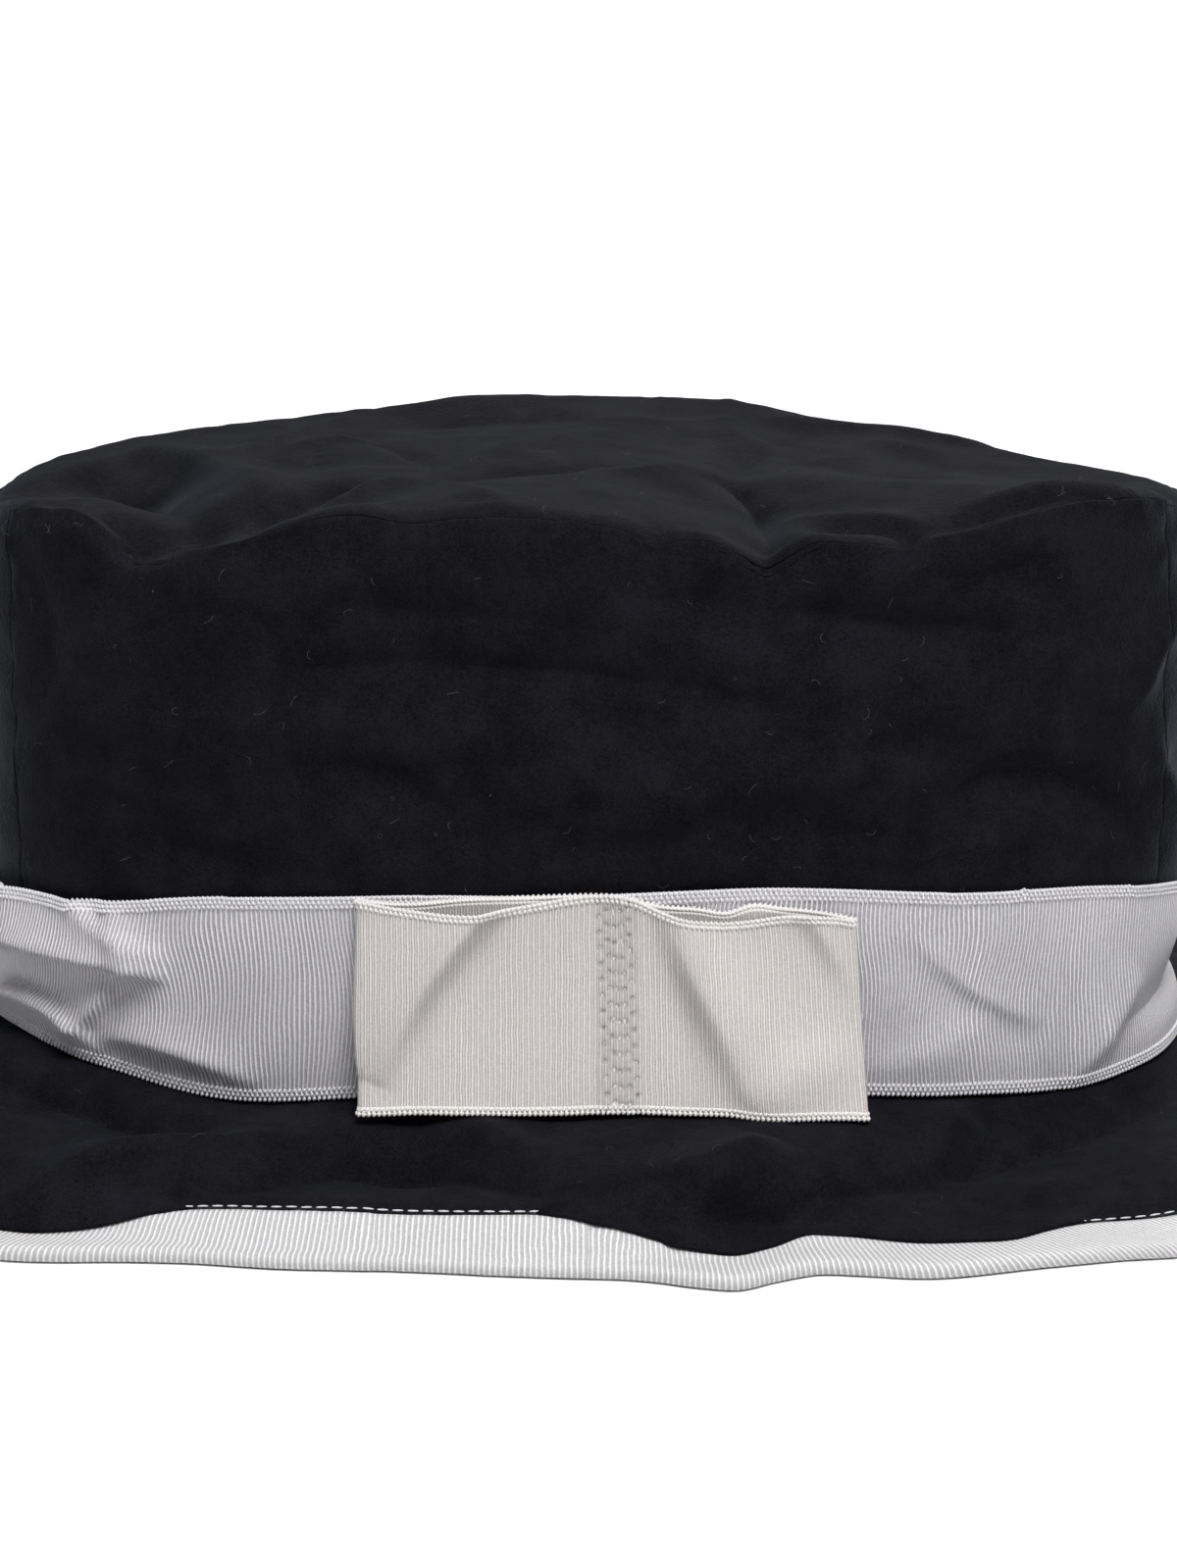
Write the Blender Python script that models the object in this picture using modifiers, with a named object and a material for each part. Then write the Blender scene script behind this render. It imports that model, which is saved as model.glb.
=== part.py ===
"""A soft wide-brim hat of black brushed cloth, with a ribbed ribbon band, a flat bow and a bound brim.

Metres, +Z up, front of the hat towards -Y. Every shell is a grid of points worked out from the sizes and
the tables below, one column of points for each share of the way round the hat, then thickened. A share
round the hat is 0 at the middle of the front, 0.25 at the right side, 0.5 at the back.
"""

import bmesh
import bpy
import numpy as np

# Crown, measured to the middle of its cloth at its foot
CROWN_HALF_WIDTH = 0.1120
CROWN_HALF_DEPTH = 0.0620
CROWN_SQUARENESS = 2.4
CROWN_HEIGHT = 0.1078
FOOT_HEIGHT = 0.0157
EDGE_ROUND = 0.0055
SIDE_SEAM = 0.20
TIP_MIDDLE = 0.995

# Brim, from the crown's foot to the rim, and the tape folded over the rim
BRIM_WIDTH = 0.0615
BRIM_TURN_IN = 0.0032
SHOULDER_SOFTNESS = 0.07
BINDING_WIDTH = 0.0122

# Ribbon band and bow
RIBBON_WIDTH = 0.0385
BOW_RIBBON_WIDTH = 0.0395
BOW_WIDTH = 0.0935
BOW_TO_RIGHT = 0.0035
BOW_HOLLOW = 0.0034
BOW_STITCHED_WIDTH = 0.0086
BOW_FOOT_KICK = 0.0092
BOW_FOOT_FLARE = 0.0032
BOW_FRONT_SAG = 0.0020

# Cloth thicknesses, the gap kept between pieces, and the gap under the foot of the crown and of the band
CROWN_CLOTH = 0.0012
BRIM_CLOTH = 0.0020
RIBBON_CLOTH = 0.0008
GAP = 0.0003
FOOT_GAP = 0.0007

# Depth that a fold of height 1 stands out by, and the width that a fold of width 1 spreads over
FOLD_DEPTH = 0.0040
FOLD_SPREAD = 0.0100

# How fast a fold falls away from its line, and how blunt its two ends are
FOLD_FALL = 1.5
FOLD_BLUNTNESS = 0.7

# Share of the wall's height, or of the brim's width, over which folds die away to the seam at its foot
FOLD_FREE = 0.10

# Squares round the front panel, round the back panel, up the band, up the crown above it, in each half of
# the edge's rounding, from there to the middle of the tip, and up the bow
FRONT_COLUMNS = 28
BACK_COLUMNS = 40
BAND_ROWS = 4
WALL_ROWS = 6
ROUNDING_ROWS = 2
TIP_ROWS = 6
BOW_ROWS = 4

# Steps that the crown's outline, the brim's slope and a fold's line are summed or searched in
OUTLINE_STEPS = 2880
BRIM_STEPS = 240
FOLD_STEPS = 24

# At a seam two cloths' ends lean towards each other, so their middles keep further apart than the gap
SIDE_SEAM_GAP = GAP + CROWN_CLOTH / 4
TIP_SEAM_GAP = 2.5 * GAP + CROWN_CLOTH * np.pi / 4 / ROUNDING_ROWS

# Length of cloth round half of the edge's rounding, from the wall to the seam of the tip
HALF_ROUND = EDGE_ROUND * np.pi / 4

# Share round the hat, then foot height, standing height of the ribbon and height of the crown at that
# place, as shares of FOOT_HEIGHT, RIBBON_WIDTH and CROWN_HEIGHT: the crown slumps at its sides
ROUND_THE_HAT = (
    (0.000, 1.00, 1.000, 1.018),
    (0.060, 0.98, 1.030, 0.978),
    (0.120, 0.81, 1.020, 1.018),
    (0.160, 0.69, 1.013, 1.057),
    (0.200, 0.71, 0.899, 1.034),
    (0.250, 0.78, 0.717, 0.977),
    (0.320, 0.92, 0.720, 0.922),
    (0.400, 0.98, 0.840, 0.948),
    (0.500, 1.00, 0.880, 0.998),
    (0.600, 1.00, 0.840, 0.970),
    (0.680, 1.02, 0.720, 0.942),
    (0.750, 1.00, 0.641, 0.927),
    (0.800, 1.11, 0.730, 0.960),
    (0.840, 0.95, 0.853, 0.991),
    (0.880, 0.77, 1.009, 1.000),
    (0.940, 0.95, 1.002, 1.025),
)

# Height up the crown, then half width and half depth there, as shares of the crown's height and of its
# foot's sizes: nearly straight sides, closing in to the tip at front and back
UP_THE_CROWN = (
    (0.00, 1.014, 1.000),
    (0.12, 1.018, 0.998),
    (0.36, 1.024, 1.000),
    (0.65, 1.026, 0.995),
    (0.88, 1.028, 0.975),
    (1.00, 1.028, 0.962),
)

# Share round the hat, slope of the brim at the crown's foot, place of its shoulder as a share of its
# width, and slope beyond the shoulder, in degrees
ROUND_THE_BRIM = (
    (0.000, 5.5, 0.77, 56.0),
    (0.020, 3.0, 0.65, 51.0),
    (0.040, 3.0, 0.55, 47.0),
    (0.062, 3.0, 0.59, 43.0),
    (0.090, 6.0, 0.58, 30.0),
    (0.120, 5.5, 0.53, 23.5),
    (0.165, 1.2, 0.62, 29.5),
    (0.210, 3.0, 0.50, 24.0),
    (0.260, 8.0, 0.48, 26.0),
    (0.330, 14.0, 0.55, 24.0),
    (0.420, 18.0, 0.60, 22.0),
    (0.500, 18.0, 0.60, 21.0),
    (0.600, 17.0, 0.60, 21.0),
    (0.680, 14.0, 0.55, 26.0),
    (0.750, 12.0, 0.50, 29.0),
    (0.800, 12.0, 0.50, 31.0),
    (0.850, 4.0, 0.58, 36.0),
    (0.890, 3.8, 0.76, 47.0),
    (0.950, 5.2, 0.77, 56.0),
)

# Share round the hat, then how far the limp rim has spread beyond its smooth run there, in metres
RIM_REACH = (
    (0.000, -0.0034),
    (0.010, -0.0020),
    (0.020, 0.0004),
    (0.030, 0.0038),
    (0.040, 0.0055),
    (0.050, 0.0012),
    (0.060, -0.0024),
    (0.070, -0.0020),
    (0.085, -0.0002),
    (0.115, -0.0016),
    (0.130, -0.0006),
    (0.145, 0.0030),
    (0.165, 0.0045),
    (0.200, 0.0030),
    (0.260, 0.0000),
    (0.500, 0.0000),
    (0.760, 0.0000),
    (0.800, 0.0050),
    (0.840, 0.0070),
    (0.860, 0.0052),
    (0.870, 0.0022),
    (0.880, -0.0014),
    (0.895, -0.0048),
    (0.920, -0.0054),
    (0.960, -0.0052),
    (0.985, -0.0046),
)

# Share of the brim's width where that spreading starts, and where it has its whole size
RIM_REACH_FROM = 0.45
RIM_REACH_FULL = 0.85

# Folds: start, middle and end as pairs of shares, spread to the left and to the right of the way it runs,
# height outwards. On the crown's wall a pair is a share round the hat and a share up the wall
WALL_FOLDS = (
    (0.175, 0.06, 0.240, 0.12, 0.330, 0.12, 0.80, 0.80, -0.90),
    (0.670, 0.13, 0.750, 0.13, 0.840, 0.12, 0.80, 0.80, -0.90),
    (0.100, 0.32, 0.122, 0.20, 0.150, 0.12, 0.80, 0.80, -0.40),
    (0.917, 0.80, 0.988, 0.80, 1.047, 0.75, 0.90, 1.20, -0.50),
    (0.005, 0.88, 0.072, 0.90, 0.140, 0.82, 0.80, 1.00, -0.50),
    (0.110, 0.42, 0.142, 0.56, 0.190, 0.38, 0.90, 0.90, -0.60),
    (0.010, 0.46, 0.062, 0.60, 0.110, 0.55, 0.90, 1.20, 0.45),
    (0.905, 0.60, 0.940, 0.57, 0.965, 0.42, 0.90, 0.90, -0.40),
    (0.058, 1.05, 0.052, 0.93, 0.025, 0.84, 0.90, 0.90, -0.70),
    (0.870, 0.99, 0.855, 0.94, 0.835, 0.80, 1.00, 1.00, -0.50),
    (0.290, 0.85, 0.340, 0.62, 0.380, 0.45, 1.20, 1.20, -0.60),
    (0.440, 0.40, 0.490, 0.62, 0.560, 0.70, 1.20, 1.20, -0.50),
    (0.600, 0.80, 0.650, 0.60, 0.720, 0.55, 1.20, 1.20, 0.50),
)

# On the tip a pair is a share of its half width to the right and of its half depth to the back
TIP_FOLDS = (
    (-0.74, 0.34, -0.65, -0.30, -0.56, -0.80, 0.90, 1.20, -1.30),
    (-0.93, 0.00, -0.82, 0.15, -0.72, -0.30, 0.90, 0.90, 0.60),
    (-0.92, -0.40, -0.79, -0.66, -0.60, -0.80, 1.00, 1.10, -1.30),
    (-0.56, -0.44, -0.34, -0.25, -0.06, -0.80, 0.90, 0.90, 0.50),
    (0.25, 0.45, 0.28, -0.45, 0.30, -1.45, 1.20, 1.10, -0.85),
    (0.33, -0.80, 0.43, -0.74, 0.54, -0.76, 0.90, 0.80, -0.50),
    (0.40, 0.30, 0.58, 0.05, 0.80, 0.10, 1.20, 1.20, -0.50),
    (-0.40, 0.60, -0.10, 0.45, 0.15, 0.62, 1.00, 1.20, -0.40),
)

# On the brim a pair is a share round the hat and a share of its width outwards
BRIM_FOLDS = (
    (0.042, 0.86, 0.118, 0.33, 0.235, 0.24, 2.20, 0.80, -0.95),
    (0.890, 0.84, 0.938, 0.43, 0.998, 0.84, 2.00, 0.80, -0.80),
    (0.800, 0.32, 0.850, 0.22, 0.900, 0.42, 1.10, 0.80, -0.55),
    (0.856, 0.84, 0.882, 0.48, 0.914, 0.34, 0.80, 0.80, 0.70),
    (1.018, 0.78, 1.036, 0.59, 1.056, 0.38, 0.80, 0.80, 0.55),
    (0.330, 0.20, 0.345, 0.50, 0.350, 0.90, 2.00, 2.00, 0.80),
    (0.440, 0.25, 0.450, 0.55, 0.455, 0.90, 2.20, 2.20, 0.70),
    (0.580, 0.25, 0.575, 0.55, 0.570, 0.90, 2.00, 2.40, 0.80),
    (0.690, 0.25, 0.680, 0.55, 0.675, 0.90, 2.00, 2.00, 0.70),
)

# Rows of the brim as shares of its width, between the row inside the crown's foot and the binding's rows
BRIM_ROWS = (0.00, 0.17, 0.34, 0.49, 0.61, 0.71)

# Across the folded tape of the binding: share of its width from its inner edge to the brim's edge, side of
# the brim it lies on, and distance past the brim's edge as a share of the tape's clearance there
BINDING_FOLD = (
    (0.0, 1, 0.0),
    (1.0, 1, 0.5),
    (1.0, 0, 2.3),
    (1.0, -1, 0.5),
    (0.0, -1, 0.0),
)

# Across each half of the bow, from its stitched middle to its folded end: place as a share of the half's
# width, hollow between its two layers as a share of BOW_HOLLOW
BOW_LOOP = (
    (0.00, 0.16),
    (0.12, 0.45),
    (0.30, 0.90),
    (0.50, 1.00),
    (0.70, 0.90),
    (0.88, 0.60),
    (0.97, 0.30),
    (1.00, 0.20),
)


def curve_through(at, value, place):
    """A smooth curve through the points (at, value), read at each place."""
    slope = np.gradient(value, at)
    i = np.clip(np.searchsorted(at, place, side="right") - 1, 0, len(at) - 2)
    step = at[i + 1] - at[i]
    t = (place - at[i]) / step
    rise = (1 + 2 * t) * (1 - t) ** 2 * value[i] + t**2 * (3 - 2 * t) * value[i + 1]
    return rise + step * t * (1 - t) * ((1 - t) * slope[i] - t * slope[i + 1])


def round_value(table, column, share):
    """One column of a table whose rows run round the hat, read at each share: the curve closes on itself."""
    rows = np.array(table)
    at = np.concatenate([rows[-3:, 0] - 1, rows[:, 0], rows[:3, 0] + 1])
    value = np.concatenate([rows[-3:, column], rows[:, column], rows[:3, column]])
    return curve_through(at, value, np.mod(share, 1.0))


def foot_outline(share):
    """Points of the crown's foot in plan and the outward directions there, even steps along its outline.

    The outline is a rounded oblong, |x / half width| ** n + |y / half depth| ** n = 1.
    """
    turn = np.linspace(0, 2 * np.pi, OUTLINE_STEPS + 1)
    power = 2 / CROWN_SQUARENESS
    x = CROWN_HALF_WIDTH * np.sign(np.sin(turn)) * np.abs(np.sin(turn)) ** power
    y = -CROWN_HALF_DEPTH * np.sign(np.cos(turn)) * np.abs(np.cos(turn)) ** power
    way = np.concatenate([[0], np.cumsum(np.hypot(np.diff(x), np.diff(y)))])
    at = np.mod(share, 1.0) * way[-1]
    point = np.stack([np.interp(at, way, x), np.interp(at, way, y)], axis=-1)
    half = np.array([CROWN_HALF_WIDTH, CROWN_HALF_DEPTH])
    out = np.sign(point) * np.abs(point / half) ** (CROWN_SQUARENESS - 1) / half
    return point, out / np.linalg.norm(out, axis=-1, keepdims=True), way[-1]


def fold_height(table, across, up, across_size, up_size, closed):
    """Height of all the folds of a table at places given as shares.

    Each fold runs along a bent line. Its height falls away from the line with its own spread on each side,
    as exp(-(distance / spread) ** fall), and fades out at both ends.
    """
    total = np.zeros(np.broadcast(across, up).shape)
    along = np.linspace(0, 1, FOLD_STEPS + 1)
    ways = np.stack([(1 - along) * (1 - 2 * along), 4 * along * (1 - along), along * (2 * along - 1)])
    for fold in table:
        line = ways.T @ np.array(fold[:6]).reshape(3, 2)
        shift = across[..., None] - line[:, 0]
        if closed:
            shift = shift - np.round(shift)
        dx, dy = shift * across_size, (up[..., None] - line[:, 1]) * up_size
        distance = np.hypot(dx, dy)
        nearest = distance.argmin(axis=-1)
        run = np.gradient(line, axis=0) * [across_size, up_size]
        pick = (*np.indices(nearest.shape), nearest)
        side = run[nearest, 0] * dy[pick] - run[nearest, 1] * dx[pick]
        spread = np.where(side > 0, fold[6], fold[7]) * FOLD_SPREAD
        fade = np.sin(np.pi * along[nearest]) ** FOLD_BLUNTNESS
        total += fold[8] * fade * np.exp(-((distance[pick] / spread) ** FOLD_FALL))
    return total * FOLD_DEPTH


def settled(height, lowest, softness):
    """Heights kept from going below the lowest, with a soft bend on the way there."""
    above = height - lowest
    bend = np.clip(above + softness, 0, 2 * softness) ** 2 / (4 * softness)
    return lowest + np.where(above > softness, above, bend)


def brim_points(share, out_share):
    """Points on the middle of the brim's cloth.

    Down each column the slope eases from its value at the crown's foot to its value at the edge, about the
    shoulder, and is summed along the width. Where the cloth would reach the floor it lies flat instead.
    """
    foot, out, around = foot_outline(share)
    columns = (round_value(ROUND_THE_BRIM, column, share)[:, None] for column in (1, 2, 3))
    at_foot, shoulder, at_edge = columns
    steps = np.linspace(-BRIM_TURN_IN / BRIM_WIDTH, 1, BRIM_STEPS + 1)
    ease = 0.5 + 0.5 * np.tanh((steps - shoulder) / SHOULDER_SOFTNESS)
    slope = np.radians(at_foot + (at_edge - at_foot) * ease)
    place = np.interp(out_share, steps, np.arange(BRIM_STEPS + 1))
    before = np.minimum(place.astype(int), BRIM_STEPS - 1)

    def at_rows(values):
        return values[:, before] + (values[:, before + 1] - values[:, before]) * (place - before)

    def summed(values):
        total = np.cumsum(values, axis=1) * BRIM_WIDTH * (steps[1] - steps[0])
        return at_rows(total - total[:, [np.argmin(np.abs(steps))]])

    run, fall, slope = summed(np.cos(slope)), summed(np.sin(slope)), at_rows(slope)
    height = FOOT_HEIGHT * round_value(ROUND_THE_HAT, 1, share)[:, None] - fall
    far = np.clip((out_share - RIM_REACH_FROM) / (RIM_REACH_FULL - RIM_REACH_FROM), 0, 1)
    run = run + round_value(RIM_REACH, 1, share)[:, None] * far**2 * (3 - 2 * far)
    point = np.concatenate([foot[:, None] + run[..., None] * out[:, None], height[..., None]], axis=-1)
    normal = np.concatenate([np.sin(slope)[..., None] * out[:, None], np.cos(slope)[..., None]], axis=-1)
    around_share, out_share = np.broadcast_arrays(share[:, None], out_share)
    free = np.clip(out_share / FOLD_FREE, 0, 1) ** 2
    bump = fold_height(BRIM_FOLDS, around_share, out_share, around, BRIM_WIDTH, True) * free
    point = point + normal * bump[..., None]
    point[..., 2] = settled(point[..., 2], BRIM_CLOTH / 2 + GAP + RIBBON_CLOTH, BRIM_CLOTH / 4)
    return point


def crown_points(share, up):
    """Points on the middle of the crown's cloth.

    Up is 0 at the foot, 1 at the seam of the tip, halfway round the edge's rounding, and 2 at the middle of
    the tip. Folds stand out along the wall's outward direction, turning to straight up over the rounding.
    """
    foot, out, around = foot_outline(share)
    foot_height = FOOT_HEIGHT * round_value(ROUND_THE_HAT, 1, share)[:, None]
    rise = CROWN_HEIGHT * round_value(ROUND_THE_HAT, 3, share)[:, None]
    straight, inwards = rise - EDGE_ROUND, CROWN_HALF_DEPTH - EDGE_ROUND
    wall = np.clip(up, 0, 1) * (straight + HALF_ROUND)
    beyond = np.clip(up - 1, 0, 1) * (HALF_ROUND + inwards)
    turned = (np.clip(wall - straight, 0, HALF_ROUND) + np.clip(beyond, 0, HALF_ROUND)) / (2 * HALF_ROUND)
    angle = turned * np.pi / 2
    height = np.minimum(wall, straight) + EDGE_ROUND * np.sin(angle)
    rows = np.array(UP_THE_CROWN)
    width, depth = (curve_through(rows[:, 0], rows[:, column], height / rise) for column in (1, 2))
    inner = np.clip((beyond - HALF_ROUND) / inwards, 0, 1)
    height = foot_height + height
    height = height + (FOOT_HEIGHT + CROWN_HEIGHT * TIP_MIDDLE - height) * inner**2 * (3 - 2 * inner)
    plan = np.stack([foot[:, None, 0] * width, foot[:, None, 1] * depth], axis=-1)
    plan = plan - out[:, None] * (EDGE_ROUND * (1 - np.cos(angle)))[..., None]
    plan = plan * (1 - inner)[..., None]
    around_share, up = np.broadcast_arrays(share[:, None], up)
    on_wall = fold_height(WALL_FOLDS, around_share, up, around, CROWN_HEIGHT, True)
    on_wall = on_wall * np.clip(up / FOLD_FREE, 0, 1) ** 2
    across, back = plan[..., 0] / CROWN_HALF_WIDTH, plan[..., 1] / CROWN_HALF_DEPTH
    on_tip = fold_height(TIP_FOLDS, across, back, CROWN_HALF_WIDTH, CROWN_HALF_DEPTH, False)
    bump = on_wall * (1 - turned) + on_tip * turned
    normal = np.concatenate([np.cos(angle)[..., None] * out[:, None], np.sin(angle)[..., None]], axis=-1)
    return np.concatenate([plan, height[..., None]], axis=-1) + normal * bump[..., None]


def wall_rows(share):
    """Heights of the rows of points up the crown's wall: the band's rows, the wall's, the rounding's."""
    slope = np.radians(round_value(ROUND_THE_BRIM, 1, share))
    lift = (BRIM_CLOTH / 2 + FOOT_GAP) / np.cos(slope) + CROWN_CLOTH * np.abs(np.tan(slope))
    ribbon = lift + RIBBON_WIDTH * round_value(ROUND_THE_HAT, 2, share)
    straight = CROWN_HEIGHT * round_value(ROUND_THE_HAT, 3, share) - EDGE_ROUND
    whole = straight + HALF_ROUND
    corners = [lift, ribbon, straight, whole - TIP_SEAM_GAP / 2]
    parts = [
        low[:, None] + (high - low)[:, None] * np.linspace(0, 1, count, endpoint=False)
        for low, high, count in zip(corners, corners[1:], (BAND_ROWS, WALL_ROWS, ROUNDING_ROWS))
    ]
    return np.concatenate([*parts, corners[-1][:, None]], axis=1) / whole[:, None]


def grid_faces(columns, rows, closed, returning=0):
    """Triangles of a grid of points, every square split along the same diagonal, so that shells nest.

    The last strips, where a section returns underneath, are split the other way: they nest the same.
    """
    index = np.arange(columns * rows).reshape(columns, rows)
    after = np.roll(index, -1, axis=0) if closed else index[1:]
    before = index if closed else index[:-1]
    corners = before[:, :-1], after[:, :-1], after[:, 1:], before[:, 1:]
    going = rows - 1 - returning
    one, two, three, four = (corner[:, :going] for corner in corners)
    halves = [(one, two, three), (one, three, four)]
    one, two, three, four = (corner[:, going:] for corner in corners)
    halves += [(one, two, four), (two, three, four)]
    return np.concatenate([np.stack(half, axis=-1).reshape(-1, 3) for half in halves])


def surface_directions(grid, closed):
    """Directions out of a grid's surface at its points: its triangles' own, each weighted by its corner."""
    faces = grid_faces(*grid.shape[:2], closed)
    points = grid.reshape(-1, 3)
    total = np.zeros_like(points)
    for corner in range(3):
        here, after, before = (points[faces[:, (corner + turn) % 3]] for turn in (0, 1, 2))
        one, two = after - here, before - here
        cross = np.cross(one, two)
        length = np.linalg.norm(cross, axis=1)
        angle = np.arctan2(length, (one * two).sum(axis=1))
        np.add.at(total, faces[:, corner], cross * (angle / length)[:, None])
    return (total / np.linalg.norm(total, axis=1, keepdims=True)).reshape(grid.shape)


def add_shell(name, points, faces, thickness, colour, roughness, even=False):
    """One object: a surface thickened to both sides, evenly where a fold of it has to lie flat."""
    mesh = bpy.data.meshes.new(name)
    mesh.from_pydata(points.tolist(), [], faces.tolist())
    made = add_object(name, mesh, colour, roughness)
    shell = made.modifiers.new("thickness", "SOLIDIFY")
    shell.thickness = thickness
    shell.offset = 0.0
    shell.use_even_offset = even
    return made


def add_ring(name, grid, thickness, colour, roughness, closed=True, returning=0):
    """A shell from a grid of points, closed round the hat or open at its two sides."""
    faces = grid_faces(*grid.shape[:2], closed, returning)
    return add_shell(name, grid.reshape(-1, 3), faces, thickness, colour, roughness, returning > 0)


def add_cap(name, grid, thickness, colour, roughness):
    """A shell from a grid closed round the hat, its last row one point in the middle."""
    points = np.concatenate([grid[:, :-1].reshape(-1, 3), grid[:1, -1]])
    columns, rows = grid.shape[0], grid.shape[1] - 1
    inner = np.arange(columns) * rows + rows - 1
    fan = np.stack([inner, np.roll(inner, -1), np.full(columns, len(points) - 1)], axis=-1)
    faces = np.concatenate([grid_faces(columns, rows, True), fan])
    return add_shell(name, points, faces, thickness, colour, roughness)


def add_object(name, mesh, colour, roughness):
    made = bpy.data.objects.new(name, mesh)
    hat.objects.link(made)
    material = bpy.data.materials.new(name)
    material.use_nodes = True
    surface = material.node_tree.nodes["Principled BSDF"]
    surface.inputs["Base Color"].default_value = (*colour, 1.0)
    surface.inputs["Roughness"].default_value = roughness
    mesh.materials.append(material)
    return made


def bow_points(behind):
    """The bow: a ribbon folded flat into two loops, its two layers joined where it is stitched.

    Each station across has four points: the front layer's outside and inside, then the back layer's inside
    and outside. The front layer bulges forward and sags a little, the ribbon's foot kicks forward, and the
    right loop flares towards its foot.
    """
    loop = np.array(BOW_LOOP)
    stitched = BOW_STITCHED_WIDTH / 2
    right = stitched + loop[:, 0] * (BOW_WIDTH / 2 - stitched)
    across = BOW_TO_RIGHT + np.concatenate([-right[::-1], right])
    bulge = np.concatenate([loop[::-1, 1], loop[:, 1]])
    back = np.interp(across, *behind)
    front = back - 2 * RIBBON_CLOTH - bulge * BOW_HOLLOW
    layers = np.stack([front, front + RIBBON_CLOTH, back - RIBBON_CLOTH, back], axis=1)
    layers[[0, -1]] += np.array([0.5, 0, 0, -0.5]) * RIBBON_CLOTH  # the folded ends are rounded
    up = np.linspace(0, 1, BOW_ROWS + 1)
    y = layers[:, :, None] - BOW_FOOT_KICK * (1 - up) ** 2
    sag = bulge[:, None] * np.array([1, 1, 0, 0]) * BOW_FRONT_SAG
    z = FOOT_HEIGHT + BRIM_CLOTH / 2 + GAP + (BOW_RIBBON_WIDTH - sag[..., None]) * up
    flare = np.clip((across - BOW_TO_RIGHT) / BOW_WIDTH * 2, 0, 1) * BOW_FOOT_FLARE
    x = across[:, None, None] + flare[:, None, None] * (1 - up)
    return np.stack([np.broadcast_to(x, y.shape), y, z], axis=-1)


def bow_faces(stations, levels, solid):
    """The skin of the bow: its layers' two sides, its edges, and the ends of its stitched parts."""
    index = np.arange(stations * 4 * levels).reshape(stations, 4, levels)
    faces = []

    def skin(corners):
        faces.extend(np.stack(corners, axis=-1).reshape(-1, 4).tolist())

    for i in range(stations - 1):
        here, there = index[i], index[i + 1]
        for layer in (0, 3) if i in solid else (0, 1, 2, 3):
            skin((here[layer, :-1], there[layer, :-1], there[layer, 1:], here[layer, 1:]))
        for layer in (0, 1, 2) if i in solid else (0, 2):
            skin((here[layer, ::levels - 1], there[layer, ::levels - 1],
                  there[layer + 1, ::levels - 1], here[layer + 1, ::levels - 1]))
    for i in range(stations):
        beside = (i - 1 in solid, i in solid)
        gaps = (0, 1, 2) if i in (0, stations - 1) else (1,) if beside[0] != beside[1] else ()
        for layer in gaps:
            near, far = index[i, layer], index[i, layer + 1]
            skin((near[:-1], far[:-1], far[1:], near[1:]))
    return faces


def add_bow(name, points, colour, roughness):
    stations, _, levels = points.shape[:3]
    faces = bow_faces(stations, levels, (0, len(BOW_LOOP) - 1, stations - 2))
    used, faces = np.unique(np.array(faces), return_inverse=True)
    mesh = bpy.data.meshes.new(name)
    mesh.from_pydata(points.reshape(-1, 3)[used].tolist(), [], faces.reshape(-1, 4).tolist())
    skin = bmesh.new()
    skin.from_mesh(mesh)
    bmesh.ops.recalc_face_normals(skin, faces=skin.faces)
    skin.to_mesh(mesh)
    skin.free()
    return add_object(name, mesh, colour, roughness)


for item in list(bpy.data.objects):
    bpy.data.objects.remove(item)
hat = bpy.data.collections.new("wide_brim_hat")
bpy.context.scene.collection.children.link(hat)

# Columns round the hat, the side seams among them, and each panel's ends drawn back from its seams
front_share = np.linspace(-SIDE_SEAM, SIDE_SEAM, FRONT_COLUMNS + 1)
back_share = np.linspace(SIDE_SEAM, 1 - SIDE_SEAM, BACK_COLUMNS + 1)
ring_share = np.concatenate([front_share[:-1], back_share[:-1]])
drawn_back = SIDE_SEAM_GAP / 2 / foot_outline(ring_share)[2]

# Rows of the tip, from its seam over the rounding and in to its middle
tip_length = HALF_ROUND + CROWN_HALF_DEPTH - EDGE_ROUND
tip_rows = np.concatenate([
    np.linspace(TIP_SEAM_GAP / 2, HALF_ROUND, ROUNDING_ROWS, endpoint=False),
    np.linspace(HALF_ROUND, tip_length, TIP_ROWS + 1),
]) / tip_length

brim_rows = np.array([-BRIM_TURN_IN / BRIM_WIDTH, *BRIM_ROWS, 1 - BINDING_WIDTH / BRIM_WIDTH, 1])
brim_grid = brim_points(ring_share, brim_rows)

# The band lies over the lowest rows of the crown's wall
wall_grid = crown_points(ring_share, wall_rows(ring_share))
band_clear = CROWN_CLOTH / 2 + GAP + RIBBON_CLOTH / 2
band_grid = (wall_grid + surface_directions(wall_grid, True) * band_clear)[:, : BAND_ROWS + 1]

# The binding goes out along the top of the brim, round past its edge and back underneath
rim_in, rim_edge = brim_grid[:, -2], brim_grid[:, -1]
rim_up = -surface_directions(brim_grid, True) * (BRIM_CLOTH / 2 + GAP + RIBBON_CLOTH / 2)
rim_out = rim_edge - rim_in
rim_out *= (GAP + RIBBON_CLOTH / 2) / np.linalg.norm(rim_out, axis=1, keepdims=True)
binding_grid = np.stack([
    (rim_in + side * rim_up[:, -2]) * (1 - out) + (rim_edge + side * rim_up[:, -1]) * out + rim_out * past
    for out, side, past in BINDING_FOLD
], axis=1)

# The tape lies flat on the floor wherever it would come within the gap of it
on_floor = binding_grid[..., 2] < RIBBON_CLOTH / 2 + GAP
binding_grid[..., 2][on_floor] = RIBBON_CLOTH / 2

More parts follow.
